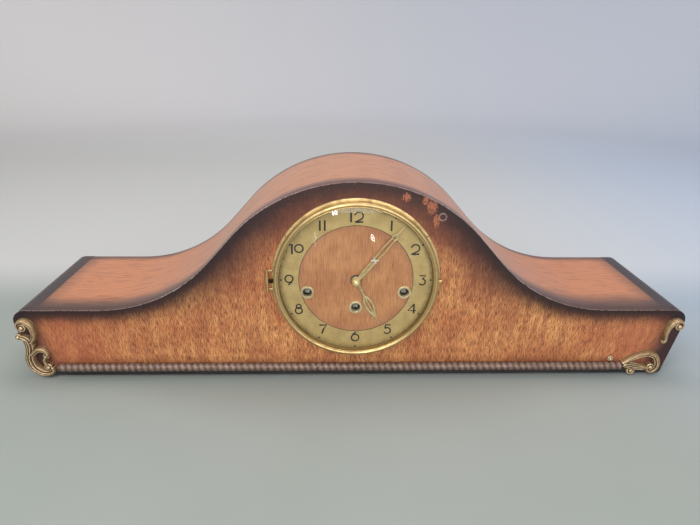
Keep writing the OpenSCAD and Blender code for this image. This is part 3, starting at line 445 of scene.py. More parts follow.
def clear_glass():
    """Clear glass: see-through, with a mirror share that grows at glancing angles, alike on both sides."""
    p = Paint("clear_glass")
    head_on = 0.012
    tree = p.tree
    weight = tree.nodes.new("ShaderNodeLayerWeight")
    weight.inputs["Blend"].default_value = 0.5
    slant = Num(p, weight.outputs["Facing"])
    mirror = p.math("POWER", slant, 5.0) * (1 - head_on) + head_on
    clear = tree.nodes.new("ShaderNodeBsdfTransparent")
    clear.inputs["Color"].default_value = (0.97, 0.98, 0.97, 1)
    gloss = tree.nodes.new("ShaderNodeBsdfGlossy")
    smear = p.lumps(15, 4.0)
    p.put(gloss.inputs["Roughness"], 0.02 + p.fade(smear, 0.5, 0.8) * 0.05)
    mixer = tree.nodes.new("ShaderNodeMixShader")
    p.put(mixer.inputs[0], mirror)
    tree.links.new(clear.outputs[0], mixer.inputs[1])
    tree.links.new(gloss.outputs[0], mixer.inputs[2])
    out = next(n for n in tree.nodes if n.type == "OUTPUT_MATERIAL")
    tree.links.new(mixer.outputs[0], out.inputs["Surface"])
    tree.nodes.remove(p.shader)
    return p.material


def felt():
    p = Paint("felt", Sheen_Weight=0.4)
    fuzz = p.lumps(0.5, 4.0, 0.7)
    return p.finish(p.mix(fuzz, linear(34, 44, 32), linear(66, 78, 58)), 0.9 + fuzz * 0.1, fuzz, 0.3)


BEZEL_BRASS = metal("bezel_brass", (204, 176, 124), (162, 132, 86), 0.32, 0.5, pits=0.002, share=0.9)
FLANGE_BRASS = metal("flange_brass", (206, 178, 126), (134, 108, 70), 0.4, 0.6, pits=0.006, share=0.8)
# Near-black brass for the hinge leaf: painted shade, so it reads as the shadowed gap by the hinge
HINGE_LEAF_SHADE = metal("hinge_leaf_painted_shade", (56, 42, 26), (38, 28, 18), 0.5, 0.5)
HAND_BRASS = metal("hand_brass", (206, 184, 136), (158, 134, 92), 0.42, 0.5, share=0.6)
NUT_BRASS = metal("nut_brass", (236, 212, 156), (206, 178, 120), 0.4, 0.4, share=0.5)
BRIGHT_METAL = metal("bright_metal", (228, 222, 210), (176, 164, 146), 0.34, 0.4, share=0.5)
GROMMET = metal("grommet_metal", (214, 194, 154), (138, 116, 84), 0.36, 0.5, share=0.55)
IRON = metal("iron", (92, 90, 88), (52, 44, 40), 0.55, 0.6)
GILT = cast_gilt()
BEAD = bead_metal()
GLASS = clear_glass()
INK = enamel("numeral_ink", (26, 22, 18))
LINE_INK = enamel("line_ink", (52, 38, 24))

# Paints with a CAD material's own name, and then the three that are named otherwise
NAMED = (
    front_veneer(),
    top_veneer(),
    plain_wood("dark_wood", (62, 38, 34), (36, 22, 24), "z", 0.3, 0.34),
    plain_wood("ebonised_wood", (44, 40, 42), (22, 20, 22), "x", 0.15, 0.42),
    plain_wood("back_wood", (134, 84, 52), (82, 48, 30), "x", 0.1, 0.5),
    plain_wood("packing_wood", (196, 154, 104), (150, 108, 66), "y", 0.0, 0.6),
    felt(),
    chapter_metal(),
    dial_veneer(),
    metal("plate_brass", (222, 188, 116), (170, 132, 74), 0.38, 0.4, "z", share=0.9),
    metal("wheel_brass", (222, 184, 104), (156, 118, 60), 0.26, 0.35),
    metal("steel", (168, 166, 162), (92, 88, 84), 0.36, 0.5),
    metal("spring_steel", (112, 118, 138), (66, 62, 66), 0.3, 0.5),
    metal("rod_bronze", (190, 138, 92), (120, 82, 54), 0.26, 0.5, "x"),
)
NODE_PAINT = {
    paint.name.split(".")[0]: paint
    for paint in NAMED + (BEZEL_BRASS, FLANGE_BRASS, GROMMET, HAND_BRASS, IRON)
}
NODE_PAINT.update(gilt_metal=GILT, rope_metal=BEAD, glass=GLASS)


# ---------- the CAD nodes: paint, smooth shading and softened edges ----------

SHARP = math.radians(32)


def shade_smooth(mesh):
    mesh.polygons.foreach_set("use_smooth", [True] * len(mesh.polygons))


def add_to_scene(name, data):
    made = bpy.data.objects.new(name, data)
    bpy.context.scene.collection.objects.link(made)
    return made


def edge_layer(mesh, name, kind):
    return mesh.attributes.get(name) or mesh.attributes.new(name, kind, "EDGE")


def soften(node, width, plane=None):
    """Welds the node's split corners, shades it smooth but for its real edges, and rounds those
    edges, or only the ones in one plane, given as (axis, place in mm)."""
    mesh = frame["nodes"][node].data
    if "custom_normal" in mesh.attributes:
        mesh.attributes.remove(mesh.attributes["custom_normal"])
    shade_smooth(mesh)
    spots = [tuple(round(c / MM, 2) for c in v.co) for v in mesh.vertices]
    meeting = {}
    for polygon in mesh.polygons:
        for a, b in polygon.edge_keys:
            meeting.setdefault(frozenset((spots[a], spots[b])), []).append(polygon.normal)
    weights = edge_layer(mesh, "bevel_weight_edge", "FLOAT")
    sharps = edge_layer(mesh, "sharp_edge", "BOOLEAN")
    for edge in mesh.edges:
        a, b = (spots[i] for i in edge.vertices)
        normals = meeting.get(frozenset((a, b)), [])
        sharp = len(normals) > 1 and min(normals[0].dot(n) for n in normals) < math.cos(SHARP)
        sharps.data[edge.index].value = sharp
        inside = plane is None or all(abs(p[plane[0]] - plane[1]) < 0.1 for p in (a, b))
        weights.data[edge.index].value = 1.0 if sharp and inside else 0.0
    weld = frame["nodes"][node].modifiers.new("weld", "WELD")
    weld.merge_threshold = 0.01 * MM
    if width:
        bevel = frame["nodes"][node].modifiers.new("bevel", "BEVEL")
        bevel.limit_method = "WEIGHT"
        bevel.width = width * MM
        bevel.segments = 3
        bevel.harden_normals = True


for node in frame["nodes"].values():
    for slot in node.material_slots:
        slot.material = NODE_PAINT[slot.material.name.split(".")[0]]

# Bevel widths, and the plane of the only edges that get one as (axis, place)
ONE_PLANE = {
    "front_panel": (0.9, (1, FRONT_Y)),
    "top_skin": (1.2, (1, BACK_Y)),
    "end_blocks": (1.2, (1, BACK_Y)),
}
EDGE_WIDTH = {
    "base_board": 0.5,
    "back_frame": 0.5,
    "back_door": 0.8,
    "front_plate": 0.3,
    "back_plate": 0.3,
    "rod_block": 0.8,
    "movement_feet": 0.5,
    "foot_pads": 0.5,
    "door_catch": 0.3,
    "door_hinge_leaves": 0.15,
    "door_hinge_knuckles": 0.15,
    "suspension_cock": 0.2,
    "pendulum_bob": 0.3,
    "case_screws": 0.15,
}
for node in frame["nodes"]:
    if node in ONE_PLANE:
        soften(node, *ONE_PLANE[node])
    else:
        soften(node, EDGE_WIDTH.get(node, 0))


# ---------- mesh tools ----------


def piece(name, verts, faces, paint, body, slot=None, smooth=True):
    """A mesh piece given in millimetres."""
    mesh = bpy.data.meshes.new(name)
    mesh.from_pydata([tuple(c * MM for c in v) for v in verts], [], faces)
    mesh.update()
    mesh.materials.append(paint)
    if smooth:
        shade_smooth(mesh)
        mesh.set_sharp_from_angle(angle=math.radians(38))
    made = add_to_scene(name, mesh)
    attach(made, body)
    return made


def lathe(profile, at=(0, DIAL_Z), steps=128, closed=True):
    """Turns a profile of (radius, y) points round an axis along Y."""
    verts, faces, rings = [], [], []
    for r, y in profile:
        first = len(verts)
        count = 1 if r < 1e-6 else steps
        for i in range(count):
            a = 2 * math.pi * i / steps
            verts.append((at[0] + r * math.cos(a), y, at[1] + r * math.sin(a)))
        rings.append((first, count))
    pairs = list(zip(rings, rings[1:] + rings[:1])) if closed else list(zip(rings, rings[1:]))
    for (a, na), (b, nb) in pairs:
        if na == 1 and nb == 1:
            continue
        for i in range(steps):
            j = (i + 1) % steps
            corner = [a + i % na, a + j % na, b + j % nb, b + i % nb]
            faces.append(tuple(dict.fromkeys(corner)))
    return verts, faces


def merge(*shapes):
    """Several (verts, faces) as one."""
    verts, faces = [], []
    for more_verts, more_faces in shapes:
        shift = len(verts)
        verts += more_verts
        faces += [tuple(i + shift for i in f) for f in more_faces]
    return verts, faces


def bend(cx, cz, r, start, end, steps=16):
    """Points along an arc, angles in degrees from the +X axis."""
    return [
        (cx + r * math.cos(math.radians(a)), cz + r * math.sin(math.radians(a)))
        for a in (start + (end - start) * i / steps for i in range(steps + 1))
    ]


def ribbon(points, widths, section, back_y, closed=False):
    """Sweeps a section along a line in the XZ plane. widths gives each point's width, and section maps
    (share across from -1 to 1, width) to a height in front of back_y."""
    shares = [i / 8 - 1 for i in range(17)]
    verts, faces = [], []
    count = len(points)
    for i, (x, z) in enumerate(points):
        before = points[(i - 1) % count] if closed else points[max(i - 1, 0)]
        after = points[(i + 1) % count] if closed else points[min(i + 1, count - 1)]
        run = math.hypot(after[0] - before[0], after[1] - before[1]) or 1
        side = (-(after[1] - before[1]) / run, (after[0] - before[0]) / run)
        w = widths[i]
        for s, height in [(s, section(s, w)) for s in shares] + [(1, 0), (-1, 0)]:
            verts.append((x + side[0] * s * w / 2, back_y - height, z + side[1] * s * w / 2))
    n = len(shares) + 2
    for i in range(count if closed else count - 1):
        a, b = i * n, ((i + 1) % count) * n
        for k in range(n):
            m = (k + 1) % n
            faces.append((a + k, a + m, b + m, b + k))
    if not closed:
        faces.append(tuple(range(n - 1, -1, -1)))
        faces.append(tuple((count - 1) * n + k for k in range(n)))
    return verts, faces


def flat_line(points, width, back_y, height, closed=False):
    """A thin raised line of even width, slightly rounded across."""
    return ribbon(points, [width] * len(points), lambda s, w: height * (1 - 0.35 * s * s), back_y, closed)


def catmull(points, steps=10):
    """Smooth line through points of any length."""
    out = []
    last = len(points) - 1
    for i in range(last):
        p0, p1, p2, p3 = (points[max(0, min(last, i + k))] for k in (-1, 0, 1, 2))
        for k in range(steps + (i == last - 1)):
            t = k / steps
            out.append(
                [
                    b
                    + (c - a) * t / 2
                    + (2 * a - 5 * b + 4 * c - d) * t * t / 2
                    + (3 * b - a - 3 * c + d) * t**3 / 2
                    for a, b, c, d in zip(p0, p1, p2, p3)
                ]
            )
    return out


# ---------- case trim ----------


def mark_hollow(mesh, depths):
    """Writes one number a corner as the attribute hollow: 0 is a crest and 1 a recess."""
    attribute = mesh.attributes.new("hollow", "FLOAT", "POINT")
    attribute.data.foreach_set("value", np.array(depths, np.float32))


def hollows(mesh, rounds):
    """Marks how deep each corner sits among its neighbours: 0.5 is flat."""
    count = len(mesh.vertices)
    co = np.empty(count * 3)
    mesh.vertices.foreach_get("co", co)
    co = co.reshape(-1, 3)
    normal = np.empty(count * 3)
    mesh.vertex_normals.foreach_get("vector", normal)
    normal = normal.reshape(-1, 3)
    edges = np.empty(len(mesh.edges) * 2, int)
    mesh.edges.foreach_get("vertices", edges)
    a, b = edges.reshape(-1, 2).T
    degree = np.bincount(np.concatenate((a, b)), minlength=count).clip(1)

    def around(values):
        total = np.zeros_like(values)
        np.add.at(total, a, values[b])
        np.add.at(total, b, values[a])
        return total / (degree[:, None] if values.ndim == 2 else degree)

    wide = co.copy()
    for _ in range(rounds):
        wide = around(wide)
    depth = ((wide - co) * normal).sum(1)
    for _ in range(2):
        depth = (depth + around(depth)) / 2
    spread = np.std(depth) * 3 + 1e-9
    mark_hollow(mesh, (0.5 + depth / spread / 2).clip(0, 1))


MOUNT_T = 6.0


def crest(t, w):
    """Height across a scroll from its inner edge, t = -1, to its outer edge, t = 1: a rounded back with
    one groove near the inner edge, and two more where it broadens to a leaf."""
    body = (1 - abs(t) ** 2.6) ** 0.5
    leaf = min(max((w - 7.5) / 1.5, 0.0), 1.0)
    cuts = ((-0.36, 0.34), (0.16, 0.26 * leaf), (0.58, 0.24 * leaf))
    groove = sum(deep * math.exp(-(((t - at) / 0.13) ** 2)) for at, deep in cuts)
    return MOUNT_T * body * (0.94 + 0.06 * t) * (1 - groove)


def ball(at, r, tall=MOUNT_T):
    """A curl's end: a small dome inside a rounded ring."""
    ring = [(1, 0), (1, 0.5), (0.93, 0.72), (0.78, 0.8), (0.62, 0.72), (0.56, 0.6), (0.5, 0.72)]
    dome = [(0.5 * math.cos(a), 0.76 + 0.24 * math.sin(a)) for a in map(math.radians, (20, 45, 70))]
    profile = ring + dome + [(0, 1), (0, 0)]
    return lathe([(r * wide, FRONT_Y - tall * high) for wide, high in profile], at, 28)


def scroll(points, outer):
    """A swelling stroke through (x, z, width) points. outer is 1 when the line runs clockwise."""
    line = catmull(points)
    widths = [point[2] for point in line]
    return ribbon([point[:2] for point in line], widths, lambda s, w: crest(s * outer, w), FRONT_Y)


def casting(name, node, shapes):
    """Fuses the strokes into one cast body by a fine remesh, and marks its recesses."""
    made = piece(name, *merge(*shapes), GILT, "case", "gilt_metal")
    remesh = made.modifiers.new("fuse", "REMESH")
    remesh.mode = "VOXEL"
    remesh.voxel_size = 0.32 * MM
    smooth = made.modifiers.new("soften", "SMOOTH")
    smooth.iterations = 2
    graph = bpy.context.evaluated_depsgraph_get()
    mesh = bpy.data.meshes.new_from_object(made.evaluated_get(graph))
    made.modifiers.clear()
    made.data = mesh
    mesh.name = name
    shade_smooth(mesh)
    if not mesh.materials:
        mesh.materials.append(GILT)
    hollows(mesh, 8)
    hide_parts(node)


casting(
    "left_scroll",
    "left_corner_mount",
    [
        ball((-331.4, 58.6), 4.4),
        scroll([[-335.2, 58, 4], [-334.8, 63, 4.8], [-329.8, 65.2, 6.2], [-323.7, 61.4, 7.2],
                [-321.3, 54.6, 6.8], [-321.7, 48, 6.2], [-325.5, 41.8, 5.4]], 1),
        ball((-336.2, 48.6), 3.5),
        scroll([[-336.4, 48.6, 3.6], [-332.6, 48, 5.2], [-329, 44.6, 8.4], [-327.6, 38.5, 10.4],
                [-328.4, 31, 9.8], [-330.2, 23, 10.6], [-328, 13.4, 10.8], [-321.6, 7.5, 9.6],
                [-314.4, 6.1, 7.8], [-309.2, 9.2, 5.8], [-309.6, 13.6, 4.8]], -1),
        ball((-312.9, 13.6), 4.2),
        scroll([[-327, 28, 6.4], [-321, 33, 6.2], [-315, 33, 6.4], [-311.9, 29.2, 5.4],
                [-312.5, 26.2, 4.4]], 1),
        ball((-313, 26.4), 3.2),
        scroll([[-313.4, 26, 3.6], [-315.7, 21.8, 4], [-314, 15, 4.4]], 1),
    ],
)
casting(
    "right_scroll",
    "right_corner_mount",
    [
        ball((333.2, 59), 4.4),
        scroll([[335.8, 57.8, 3.6], [335.6, 62.4, 4.8], [331.2, 64.4, 6], [325.7, 61.4, 6.8],
                [322.5, 55.6, 6.4], [321.5, 49.6, 5.8], [322, 42.6, 4.6]], -1),
        ball((321.8, 41), 2.8, 3.6),
        scroll([[281.8, 15.6, 4.8], [290, 20.6, 6.2], [298.8, 24.7, 7.2], [307.6, 26.5, 7.4],
                [315.2, 23.8, 7.8], [319, 17, 7.8], [318.7, 9.8, 7.2], [314, 5.9, 6.4],
                [309.7, 8.1, 5], [310.3, 11, 4.2]], 1),
        ball((312.4, 11), 4.2),
        ball((292.6, 6.6), 4.6, 5.4),
        scroll([[283.2, 13.4, 5], [289, 13, 9.4], [296, 11.6, 9.2], [303, 10.4, 7.8],
                [309.8, 9.6, 5.8]], 1),
        ball((268.5, 20.8), 3, 4.6),
    ],
)


def bead():
    """A half-round bead of twisted strands that lies on the front, with a scallop at each turn."""
    low, high = box_mm("rope_moulding")
    centre_z = (low.z + high.z) / 2
    radius = (high.z - low.z) / 2
    centre_y = low.y + radius
    pitch, lean, reach, steps = 6.4, 0.4, 132, 20
    verts, faces, deep = [], [], []
    count = int((high.x - low.x) / 0.55)
    for i in range(count + 1):
        x = low.x + (high.x - low.x) * i / count
        for k in range(steps + 1):
            a = math.radians(-reach + 2 * reach * k / steps)
            turn = math.pi * x / pitch + lean * a
            wave = abs(math.sin(turn))
            strand = 0.5 + 0.5 * math.cos(6 * turn)
            r = radius * (0.86 + 0.12 * wave**0.7 + 0.02 * strand)
            y = min(centre_y - r * math.cos(a), FRONT_Y)
            verts.append((x, y, centre_z + r * math.sin(a)))
            # How deep each point lies between the scallops, which the bead's paint turns into painted
            # highlight and painted shade
            deep.append(1 - wave * (0.75 + 0.25 * strand))
    n = steps + 1
    for i in range(count):
        for k in range(n):
            m = (k + 1) % n
            faces.append((i * n + k, (i + 1) * n + k, (i + 1) * n + m, i * n + m))
    faces.append(tuple(range(n)))
    faces.append(tuple(count * n + k for k in range(n - 1, -1, -1)))
    made = piece("twisted_bead", verts, faces, BEAD, "case", "rope_metal")
    mark_hollow(made.data, deep)
    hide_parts("rope_moulding")


bead()


# ---------- bezel, glass and flange ----------

FLANGE_R = box_mm("bezel_flange")[1].x
FLANGE_Y = FRONT_Y - 2.2
RIM_R = 80.0
RIM_IN = 75.1
RIM_FRONT = box_mm("bezel_ring")[0].y
RIM_BACK = RIM_FRONT + 7.5
GLASS_HIGH = box_mm("bezel_glass")[1]
HINGE_X = -86.2
HINGE_Y = FRONT_Y - 5
KNUCKLE_R = 1.2
WIRE_R = 0.8


def arc_profile(cr, cy, r, start, end, steps=8):
    """Part of a round in a lathe profile: angle 0 points outward and 90 points to the front."""
    return [
        (cr + r * math.cos(math.radians(a)), cy - r * math.sin(math.radians(a)))
        for a in (start + (end - start) * i / steps for i in range(steps + 1))
    ]


rim = (
    [(RIM_IN + 0.2, RIM_BACK), (RIM_R - 0.3, RIM_BACK), (RIM_R, RIM_BACK - 0.3)]
    + arc_profile(RIM_R - 2.1, RIM_FRONT + 2.1, 2.1, 0, 150, 16)
    + [(RIM_IN + 1.25, RIM_FRONT + 0.9), (RIM_IN + 1.05, RIM_FRONT + 1.1)]
    + arc_profile(RIM_IN + 0.6, RIM_FRONT + 1.1, 0.55, 30, 180, 8)
    + [(RIM_IN, RIM_FRONT + 2.2), (RIM_IN + 0.2, RIM_FRONT + 2.5)]
)
bezel_rim = piece("bezel_rim", *lathe(rim, steps=192), BEZEL_BRASS, "bezel", "bezel_brass")
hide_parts("bezel_ring")


def tube(path, r, steps=14):
    """A round wire along points in space."""
    verts, faces = [], []
    points = [Vector(p) for p in path]
    for i, point in enumerate(points):
        heading = (points[min(i + 1, len(points) - 1)] - points[max(i - 1, 0)]).normalized()
        spin = heading.to_track_quat("Z", "X").to_matrix()
        for k in range(steps):
            a = 2 * math.pi * k / steps
            verts.append(tuple(point + spin @ Vector((r * math.cos(a), r * math.sin(a), 0))))
    for i in range(len(points) - 1):
        for k in range(steps):
            m = (k + 1) % steps
            faces.append((i * steps + k, i * steps + m, (i + 1) * steps + m, (i + 1) * steps + k))
    faces.append(tuple(range(steps - 1, -1, -1)))
    faces.append(tuple((len(points) - 1) * steps + k for k in range(steps)))
    return verts, faces


def rounded_block(low, high, r=0.3):
    """A small block with rounded edges all round, as four rings of eight corners."""
    (x0, y0, z0), (x1, y1, z1) = low, high
    verts = []
    for z, inset in ((z0, r), (z0 + r, 0), (z1 - r, 0), (z1, r)):
        corners = ((x0, y0, 1, 1), (x1, y0, -1, 1), (x1, y1, -1, -1), (x0, y1, 1, -1))
        for c, (x, y, sx, sy) in enumerate(corners):
            cuts = ((0, sy * r), (sx * r, 0))
            for dx, dy in cuts[::-1] if c % 2 else cuts:
                verts.append((x + dx + sx * inset * 0.5, y + dy + sy * inset * 0.5, z))
    faces = [(a + k, a + (k + 1) % 8, a + 8 + (k + 1) % 8, a + 8 + k) for a in (0, 8, 16) for k in range(8)]
    return verts, faces + [tuple(range(7, -1, -1)), tuple(range(24, 32))]


knuckle = tube([(HINGE_X, HINGE_Y, DIAL_Z + z) for z in (-6.0, -5.8, 5.8, 6.0)], KNUCKLE_R, 20)
piece("bezel_knuckle", *knuckle, FLANGE_BRASS, "bezel", "bezel_brass")
# The leaf carries painted shade: near-black, where the hinge gap lies in shadow
leaf = rounded_block((HINGE_X + 0.9, HINGE_Y + 0.1, DIAL_Z - 2), (-RIM_R + 1.2, HINGE_Y + 1.1, DIAL_Z + 2))
piece("bezel_hinge_leaf", *leaf, HINGE_LEAF_SHADE, "bezel", "bezel_brass")
tab_low, tab_high = (RIM_R - 0.8, RIM_BACK - 4, DIAL_Z - 1.5), (RIM_R + 4, RIM_BACK - 1.6, DIAL_Z + 1.5)
piece("bezel_thumb_tab", *rounded_block(tab_low, tab_high, 0.5), BEZEL_BRASS, "bezel", "bezel_brass")

flange = [
    (DIAL_R + 0.25, FRONT_Y),
    (FLANGE_R, FRONT_Y),
    (FLANGE_R, FLANGE_Y + 0.5),
    (FLANGE_R - 0.15, FLANGE_Y + 0.15),
    (FLANGE_R - 0.6, FLANGE_Y),
    (RIM_R - 0.2, FLANGE_Y),
    (RIM_R - 0.5, FLANGE_Y + 0.25),
    (DIAL_R + 0.6, FLANGE_Y + 0.25),
    (DIAL_R + 0.25, FLANGE_Y + 0.6),
]
flange_ring = piece("flange_ring", *lathe(flange, steps=192), FLANGE_BRASS, "case", "flange_brass")
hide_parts("bezel_flange")


def hinge_wire():
    """The fixed wire of the hinge: bent back at both ends to the flange."""
    half, r = 10.7, 1.2
    path = [(HINGE_X, FRONT_Y - 0.4, DIAL_Z + half)]
    path += [(HINGE_X, HINGE_Y + r - z, DIAL_Z + half - r + y) for y, z in bend(0, 0, r, 0, 90, 6)]
    path += [(p[0], p[1], 2 * DIAL_Z - p[2]) for p in reversed(path)]
    return tube(path, WIRE_R)


def hinge_foot(side):
    """The tongue of the flange that holds one end of the wire."""
    low = DIAL_Z + side * 9.8 - 0.9
    return merge(
        rounded_block((HINGE_X - 1.2, FLANGE_Y, low), (-FLANGE_R + 2.5, FRONT_Y, low + 1.8), 0.25),
        tube([(HINGE_X, HINGE_Y, DIAL_Z + side * z) for z in (6.4, 10.9)], KNUCKLE_R, 20),
    )


wire = piece("hinge_wire", *hinge_wire(), FLANGE_BRASS, "case", "flange_brass")
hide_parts("bezel_hinge_pin")
piece("hinge_feet", *merge(hinge_foot(1), hinge_foot(-1)), FLANGE_BRASS, "case", "flange_brass")


def nails():
    """Small dark nails that hold the flange."""
    ring = FLANGE_R - 1.2
    head = [(r, FLANGE_Y - out) for r, out in ((0.7, 0), (0.7, 0.12), (0.45, 0.3), (0, 0.36), (0, 0))]
    heads = [
        lathe(head, (ring * math.cos(a), DIAL_Z + ring * math.sin(a)), 16)
        for a in map(math.radians, (34, 146, 214, 270, 326))
    ]
    piece("flange_nails", *merge(*heads), IRON, "case", "flange_brass")


nails()


def glass_cap():
    """The glass is a shallow dome of even thickness."""
    radius, rise, thick = GLASS_HIGH.x, 7.6, 1.6
    edge_y = GLASS_HIGH.y
    dome = (radius**2 + rise**2) / (2 * rise)
    spread = math.asin(radius / dome)
    outer, inner = [], []
    for i in range(33):
        a = spread * (1 - i / 32)
        r = dome * math.sin(a) if i < 32 else 0
        y = edge_y - rise + dome * (1 - math.cos(a))
        outer.append((r, y - thick))
        inner.append((r, y))
    return lathe(outer + inner[::-1], steps=160)


glass = piece("domed_glass", *glass_cap(), GLASS, "bezel", "glass")
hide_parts("bezel_glass")


# ---------- dial ----------

INK_T = 0.12
LINE_T = 0.08
NUMERAL_X, NUMERAL_TOP, NUMERAL_FOOT = 65.3, 64.4, 62.4
NUMERAL_SIZE = 0.92
TRACK_R = 73.4
LIP_R = 6.8


def on_dial(points, at):
    return [(at[0] + x * NUMERAL_SIZE, at[1] + z * NUMERAL_SIZE) for x, z in points]


# Stroke widths: upright bars, round strokes and broad ones
BAR, ROUND = 1.8, 1.45
BROAD = ROUND * 1.2


def bar_one(x):
    return [([(x, -5.6), (x, 5.6)], BAR)]


def digit_two(x):
    top = bend(x, 1.1, 4.2, 170, -48, 20) + [(x - 3.6, -5.3)]
    foot = [(x - 4.3, -5.1), (x - 1.0, -5.6), (x + 1.6, -5.2), (x + 4.3, -5.4)]
    return [(top, ROUND), (foot, BROAD)]


def digit_zero(x):
    return [(bend(x, 0.7, 4.3, 0, 345, 28), ROUND)]


NUMERALS = {
    1: bar_one(0),
    2: digit_two(0),
    3: [([(-3.4, 5.2), (3.0, 5.2), (-0.6, 1.2)] + bend(-0.4, -2.0, 3.4, 78, -150, 18), ROUND)],
    4: [([(2.0, 5.6), (-4.4, -2.2), (4.4, -2.2)], ROUND), ([(2.0, 5.6), (2.0, -5.6)], BROAD)],
    5: [([(3.4, 5.2), (-2.0, 5.2), (-2.8, 0.8)] + bend(-0.2, -1.9, 3.6, 128, -150, 20), ROUND)],
    6: [(bend(0, -1.5, 4.1, 0, 345, 28), ROUND), ([(-3.9, -0.4), (-2.2, 2.8), (1.0, 5.6)], ROUND)],
    7: [([(-4.0, 5.0), (4.0, 5.2), (0.6, 0.2), (-1.2, -5.6)], BROAD)],
    8: [(bend(0, 2.9, 2.5, 0, 345, 20), ROUND), (bend(0, -2.0, 3.7, 0, 345, 26), ROUND)],
    9: [(bend(0, 1.5, 4.1, 0, 345, 28), ROUND), ([(3.9, 0.4), (2.2, -2.8), (-1.0, -5.6)], ROUND)],
    10: bar_one(-5.6) + digit_zero(1.6),
    11: bar_one(-2.5) + bar_one(2.5),
    12: bar_one(-6.2) + digit_two(1.9),
}

for hour, strokes in NUMERALS.items():
    a = math.radians(30 * hour)
    rise = NUMERAL_TOP if math.cos(a) > 0 else NUMERAL_FOOT
    centre = (NUMERAL_X * math.sin(a), DIAL_Z + rise * math.cos(a))
    shapes = []
    for points, width in strokes:
        ring = len(points) > 19 and math.dist(points[0], points[-1]) < 1.3
        shapes.append(flat_line(on_dial(points, centre), width, DIAL_Y, INK_T, closed=ring))
    piece(f"numeral_{hour}", *merge(*shapes), INK, "case", smooth=False)


def track():
    """Minute dots, and the fine lines round the centre disc and the ring's rim."""
    dots = []
    for minute in range(60):
        a = math.radians(6 * minute)
        r = 1.0 if minute % 5 == 0 else 0.42
        dot = [(r, DIAL_Y), (r * 0.9, DIAL_Y - INK_T), (0, DIAL_Y - INK_T), (0, DIAL_Y)]
        dots.append(lathe(dot, (TRACK_R * math.sin(a), DIAL_Z + TRACK_R * math.cos(a)), 14))
    piece("minute_dots", *merge(*dots), INK, "case")
    for name, r, width in (("centre_line", DISC_R + 0.05, 0.55), ("rim_line", DIAL_R - 0.7, 0.4)):
        line = bend(0, DIAL_Z, r, 0, 358, 180)
        piece(name, *flat_line(line, width, DIAL_Y, LINE_T, closed=True), LINE_INK, "case")


track()

GROMMET_LOW, GROMMET_HIGH = box_mm("winding_grommets")


def eyelet(at):
    bore, back = 4.5, GROMMET_HIGH.y
    outside = bore + 0.9
    profile = [(bore, back), (outside, back), (outside, DIAL_Y), (LIP_R, DIAL_Y), (LIP_R, DIAL_Y - 0.25)]
    profile += arc_profile(LIP_R - 0.6, DIAL_Y - 0.35, 0.6, 10, 90, 5)
    profile += [(bore + 1.1, DIAL_Y - 1.08), (bore + 0.4, DIAL_Y - 1.0), (bore, DIAL_Y - 0.6)]
    return lathe(profile, at, 56)


CHIME_X = GROMMET_HIGH.x - LIP_R
TIME_Z = GROMMET_LOW.z + LIP_R
SIDE_Z = GROMMET_HIGH.z - LIP_R
eyelets = merge(eyelet((0, TIME_Z)), eyelet((-CHIME_X, SIDE_Z)), eyelet((CHIME_X, SIDE_Z)))
eyelets_piece = piece("eyelets", *eyelets, GROMMET, "case", "grommet_metal")
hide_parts("winding_grommets")


# ---------- hands ----------


def turned(points, turn):
    """Points drawn with +Z towards the tip, turned clockwise round the dial's axis."""
    c, s = math.cos(turn), math.sin(turn)
    return [(x * c + z * s, DIAL_Z - x * s + z * c) for x, z in points]


def strokes(turn, back):
    """The two makers of one hand's bars: taper gives each point its width, and rail has one width."""

    def taper(points, widths, share=1.0, closed=False):
        def section(s, w):
            return HAND_T * share * (1 - 0.45 * abs(s) ** 1.6)

        return ribbon(turned(points, turn), widths, section, back, closed)

    def rail(points, width, share=1.0, closed=False):
        return taper(points, [width] * len(points), share, closed)

    return taper, rail


def leaf_side(r0, r1, wide, side, power, steps=22):
    """One edge of a leaf. Its widest place moves outward as power grows."""
    return [
        (side * (wide / 2 - 1.1) * math.sin(math.pi * (i / steps) ** power), r0 + (r1 - r0) * i / steps)
        for i in range(steps + 1)
    ]


def hub(outer, inner, back):
    section = [(inner, 0), (outer, 0), (outer, 0.6), (outer - 0.4, 1), (inner + 0.3, 1), (inner, 0.8)]
    return lathe([(r, back - HAND_T * share) for r, share in section], steps=48)


HOUR_BACK = box_mm("hour_hand")[1].y
MINUTE_BACK = box_mm("minute_hand")[1].y
HAND_T = 0.7

taper, rail = strokes(HOUR_TURN, HOUR_BACK)
hour = merge(
    hub(4.6, 3.1, HOUR_BACK),
    taper([(0, 4.0), (0, 12), (0, 21)], [2.8, 2.2, 2.6]),
    *(rail(leaf_side(18, 43.5, 9.4, side, 0.9), 2.2) for side in (1, -1)),
    rail([(0, 20), (0, 42)], 1.5, 0.8),
    rail([(-1.9, 43.2), (1.9, 43.2)], 1.3),
    taper([(0, 42.5), (0, 46), (0, 52)], [2.2, 1.6, 0.7]),
)
hour_piece = piece("hour_pointer", *hour, HAND_BRASS, "hour", "hand_brass")
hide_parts("hour_hand")

taper, rail = strokes(MINUTE_TURN, MINUTE_BACK)
minute = merge(
    hub(3.8, 1.6, MINUTE_BACK),
    *(taper([(side * 0.9, 3.2), (side * 1.6, 14), (side * 1.7, 27)], [1.9, 1.8, 1.7]) for side in (-1, 1)),
    rail([(0, 4.0), (0, 27)], 0.8, 0.7),
    *(rail([(side * 1.6, 29), (side * 2.2, 42), (side * 1.6, 55.6)], 1.3) for side in (-1, 1)),
    rail(bend(0, 58, 2.6, 0, 348, 28), 1.3, closed=True),
    taper([(0, 60.2), (0, 64), (0, 72)], [2.3, 1.5, 0.7]),
)
minute_cross = merge(*(rail([(-2.8 * side, 26.2), (2.8 * side, 30.2)], 1.6) for side in (1, -1)))
piece("minute_cross", *minute_cross, BRIGHT_METAL, "minute", "hand_brass")
minute_piece = piece("minute_pointer", *minute, HAND_BRASS, "minute", "hand_brass")
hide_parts("minute_hand")

